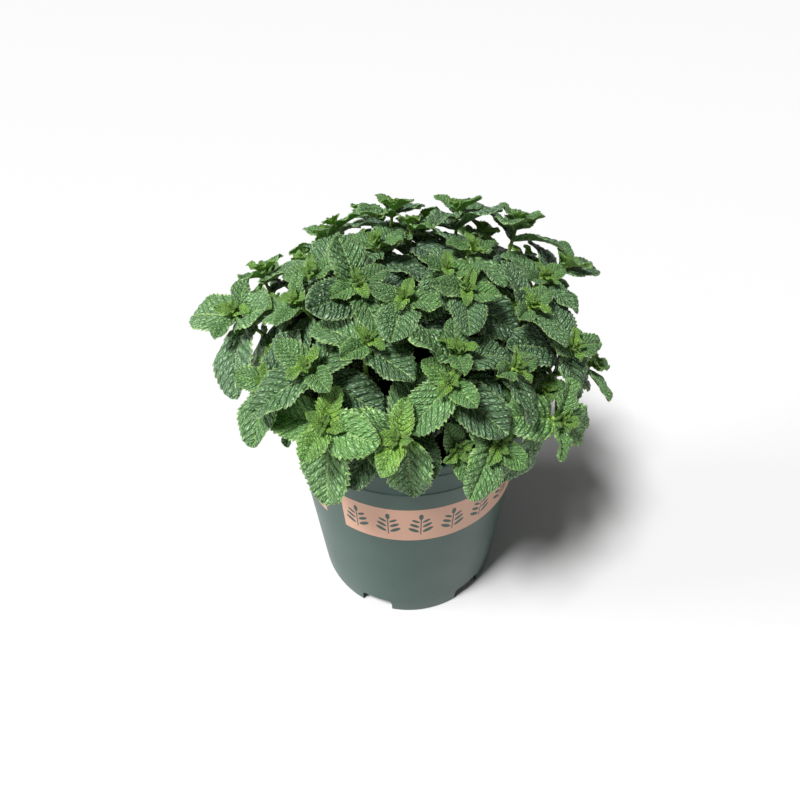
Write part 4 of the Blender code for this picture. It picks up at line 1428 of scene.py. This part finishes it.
class MintLeafSettings(bpy.types.PropertyGroup):
    """The leaves' colours, relief and teeth."""

    old_color: color("Old leaf", "Colour of an old leaf", (0.078, 0.160, 0.076))
    dark_color: color("Dark patches", "Darkest patches of an old leaf", (0.036, 0.085, 0.044))
    # Painted shade in the sunken veins and grooves
    groove_shade_color: color("Grooves", "Colour of the sunken veins", (0.007, 0.022, 0.006))
    tip_color: color("Tip leaf", "Colour of the folded youngest leaves", (0.31, 0.60, 0.06))
    fresh_color: color("Fresh leaf", "Colour of a young leaf", (0.16, 0.36, 0.085))
    # Painted highlights on the crests of the bulges, of an old and of a young leaf
    bulge_highlight_color: color("Bloom", "Pale bulges of an old leaf", (0.42, 0.60, 0.45))
    fresh_bulge_highlight_color: color("Fresh bloom", "Pale bulges of a young leaf", (0.48, 0.72, 0.42))
    under_color: color("Underside", "Colour of an old leaf's underside", (0.24, 0.38, 0.20))
    fresh_under_color: color("Fresh underside", "Colour of a young leaf's", (0.34, 0.56, 0.10))
    # The paler colour of the midrib and the veins, which also paints the highlight along the leaf's edge
    vein_and_edge_highlight_color: color("Veins", "Colour of the midrib and the leaf's edge", (0.36, 0.54, 0.2))
    pucker: number("Pucker", "Height of the bulges between veins", 1.0 * MM, unit="LENGTH")
    tooth_depth: number("Teeth", "Depth of the teeth, as a share of the half width", 0.09, min=0)


class MintStemSettings(bpy.types.PropertyGroup):
    """The stems' colours."""

    tip_color: color("Tip", "Colour of a stem's tip", (0.34, 0.54, 0.09))
    young_color: color("Young", "Colour of the upper stem", (0.24, 0.40, 0.10))
    old_color: color("Old", "Colour of the stem near the soil", (0.09, 0.07, 0.04))


class MintStageSettings(bpy.types.PropertyGroup):
    """The floor, the light and the camera."""

    floor_color: color("Floor", "Colour of the floor", (0.60, 0.60, 0.60))
    key_strength: number("Key light", "Strength of the light from above", 5.0, min=0)
    side_strength: number("Side light", "Strength of the light from the left", 1.3, min=0)
    room_strength: number("Room", "Strength of the white room", 0.14, min=0)
    softness: number("Softness", "Angle that each light fills", math.radians(14), unit="ROTATION")
    camera_distance: number("Distance", "From the camera to its aim", 0.36995, unit="LENGTH")
    aim_height: number("Aim height", "Height of the camera's aim", 0.21458, unit="LENGTH")
    camera_pitch: number("Pitch", "How far the camera looks down", math.radians(37), unit="ROTATION")


# ---------------------------------------------------------------- operators

# The stage. Directions are those in which the light travels.
FLOOR_REACH = 12.0
KEY_DIRECTION = (0.40, 0.32, -1.0)
SIDE_DIRECTION = (1.0, 0.05, -0.35)
FOCAL_LENGTH = 26.946  # in millimetres, as the sensor's width is
SENSOR_WIDTH = 36
LENS_SHIFT = (-0.0106, -0.0943)
NEAREST = 0.01


class MINT_OT_pot(bpy.types.Operator):
    """Build the nursery pot"""

    bl_idname = "mint.pot"
    bl_label = "Build Pot"

    def execute(self, context):
        add_piece("nursery_pot", pot_mesh(), [pot_finish(context.scene.mint_pot)], "pot")
        return {"FINISHED"}


class MINT_OT_soil(bpy.types.Operator):
    """Build the soil"""

    bl_idname = "mint.soil"
    bl_label = "Build Soil"

    def execute(self, context):
        settings = context.scene.mint_soil
        add_piece("potting_mix", soil_mesh(settings), [soil_finish(settings)], "soil")
        return {"FINISHED"}


class MINT_OT_shoots(bpy.types.Operator):
    """Grow the shoots: their stems, leaves and tips"""

    bl_idname = "mint.shoots"
    bl_label = "Grow Shoots"

    def execute(self, context):
        leaf_settings = context.scene.mint_leaf
        materials = [
            leaf_finish("mint_leaf_upper", leaf_settings, False),
            leaf_finish("mint_leaf_underside", leaf_settings, True),
            stem_finish(context.scene.mint_stem),
        ]
        shoots = all_shoots()
        for owner, (shoot, leaves) in enumerate(zip(shoots, grow(shoots))):
            node = f"shoot_{owner + 1:02d}"
            name = "leafy_" + node
            self.check_place(node, shoot)
            mesh = shoot_mesh(name, shoot, leaves, owner, leaf_settings)
            add_piece(name, mesh, materials, node)
        return {"FINISHED"}

    def check_place(self, node, shoot):
        """The frame's shoot has to be where this one grows."""
        low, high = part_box(node)
        tip = stem_curve(shoot, 2)[-1] + POT_AXIS
        if any(tip[i] < low[i] - MM or tip[i] > high[i] + MM for i in range(3)):
            raise RuntimeError(f"{node} of the frame isn't where its crown grows")


class MINT_OT_stage(bpy.types.Operator):
    """Set up the floor, the lights and the camera"""

    bl_idname = "mint.stage"
    bl_label = "Set Up Stage"

    def execute(self, context):
        settings = context.scene.mint_stage
        context.scene.view_settings.view_transform = "Standard"
        self.add_floor(settings)
        self.add_room(context.scene, settings)
        self.add_lights(settings)
        self.add_camera(context.scene, settings)
        return {"FINISHED"}

    def add_floor(self, settings):
        mesh = bpy.data.meshes.new("floor")
        corners = [(x * FLOOR_REACH, y * FLOOR_REACH, 0) for x, y in ((-1, -1), (1, -1), (1, 1), (-1, 1))]
        mesh.from_pydata(corners, [], [(0, 1, 2, 3)])
        floor = linked("floor", mesh)
        finish = Finish("pale_floor", Base_Color=(*settings.floor_color, 1), Roughness=0.7)
        mesh.materials.append(finish.material)

    def add_room(self, scene, settings):
        world = bpy.data.worlds.new("white_room")
        world.use_nodes = True
        background = world.node_tree.nodes["Background"]
        background.inputs["Color"].default_value = (1, 1, 1, 1)
        background.inputs["Strength"].default_value = settings.room_strength
        scene.world = world

    def add_lights(self, settings):
        for name, strength, direction in (
            ("key_light", settings.key_strength, KEY_DIRECTION),
            ("side_light", settings.side_strength, SIDE_DIRECTION),
        ):
            light = bpy.data.lights.new(name, "SUN")
            light.energy = strength
            light.angle = settings.softness
            lamp = linked(name, light)
            lamp.rotation_euler = Vector(direction).to_track_quat("-Z", "Y").to_euler()

    def add_camera(self, scene, settings):
        lens = bpy.data.cameras.new("camera")
        lens.lens = FOCAL_LENGTH
        lens.sensor_width = SENSOR_WIDTH
        lens.shift_x, lens.shift_y = LENS_SHIFT
        lens.clip_start = NEAREST
        camera = linked("camera", lens)
        pitch, distance = settings.camera_pitch, settings.camera_distance
        away = Vector((0, -distance * math.cos(pitch), settings.aim_height + distance * math.sin(pitch)))
        camera.location = POT_AXIS + away
        camera.rotation_euler = (math.pi / 2 - pitch, 0, 0)
        scene.camera = camera


class MINT_PT_panel(bpy.types.Panel):
    """The plant's pieces and settings in the sidebar"""

    bl_label = "Potted Mint Plant"
    bl_space_type = "VIEW_3D"
    bl_region_type = "UI"
    bl_category = "Mint Plant"

    def draw(self, context):
        for operator, group in PIECES:
            box = self.layout.box()
            box.operator(operator)
            for name in group:
                settings = getattr(context.scene, name)
                for key in settings.bl_rna.properties.keys():
                    if key not in ("rna_type", "name"):
                        box.prop(settings, key)


PIECES = (
    ("mint.pot", ("mint_pot",)),
    ("mint.soil", ("mint_soil",)),
    ("mint.shoots", ("mint_leaf", "mint_stem")),
    ("mint.stage", ("mint_stage",)),
)

SETTINGS = {
    "mint_pot": MintPotSettings,
    "mint_soil": MintSoilSettings,
    "mint_leaf": MintLeafSettings,
    "mint_stem": MintStemSettings,
    "mint_stage": MintStageSettings,
}

CLASSES = (
    *SETTINGS.values(),
    MINT_OT_pot,
    MINT_OT_soil,
    MINT_OT_shoots,
    MINT_OT_stage,
    MINT_PT_panel,
)


def register():
    for cls in CLASSES:
        bpy.utils.register_class(cls)
    for name, group in SETTINGS.items():
        setattr(bpy.types.Scene, name, PointerProperty(type=group))


def unregister():
    for name in SETTINGS:
        delattr(bpy.types.Scene, name)
    for cls in reversed(CLASSES):
        bpy.utils.unregister_class(cls)


def main():
    register()
    bpy.ops.mint.pot()
    bpy.ops.mint.soil()
    bpy.ops.mint.shoots()
    bpy.ops.mint.stage()


if __name__ == "__main__":
    main()
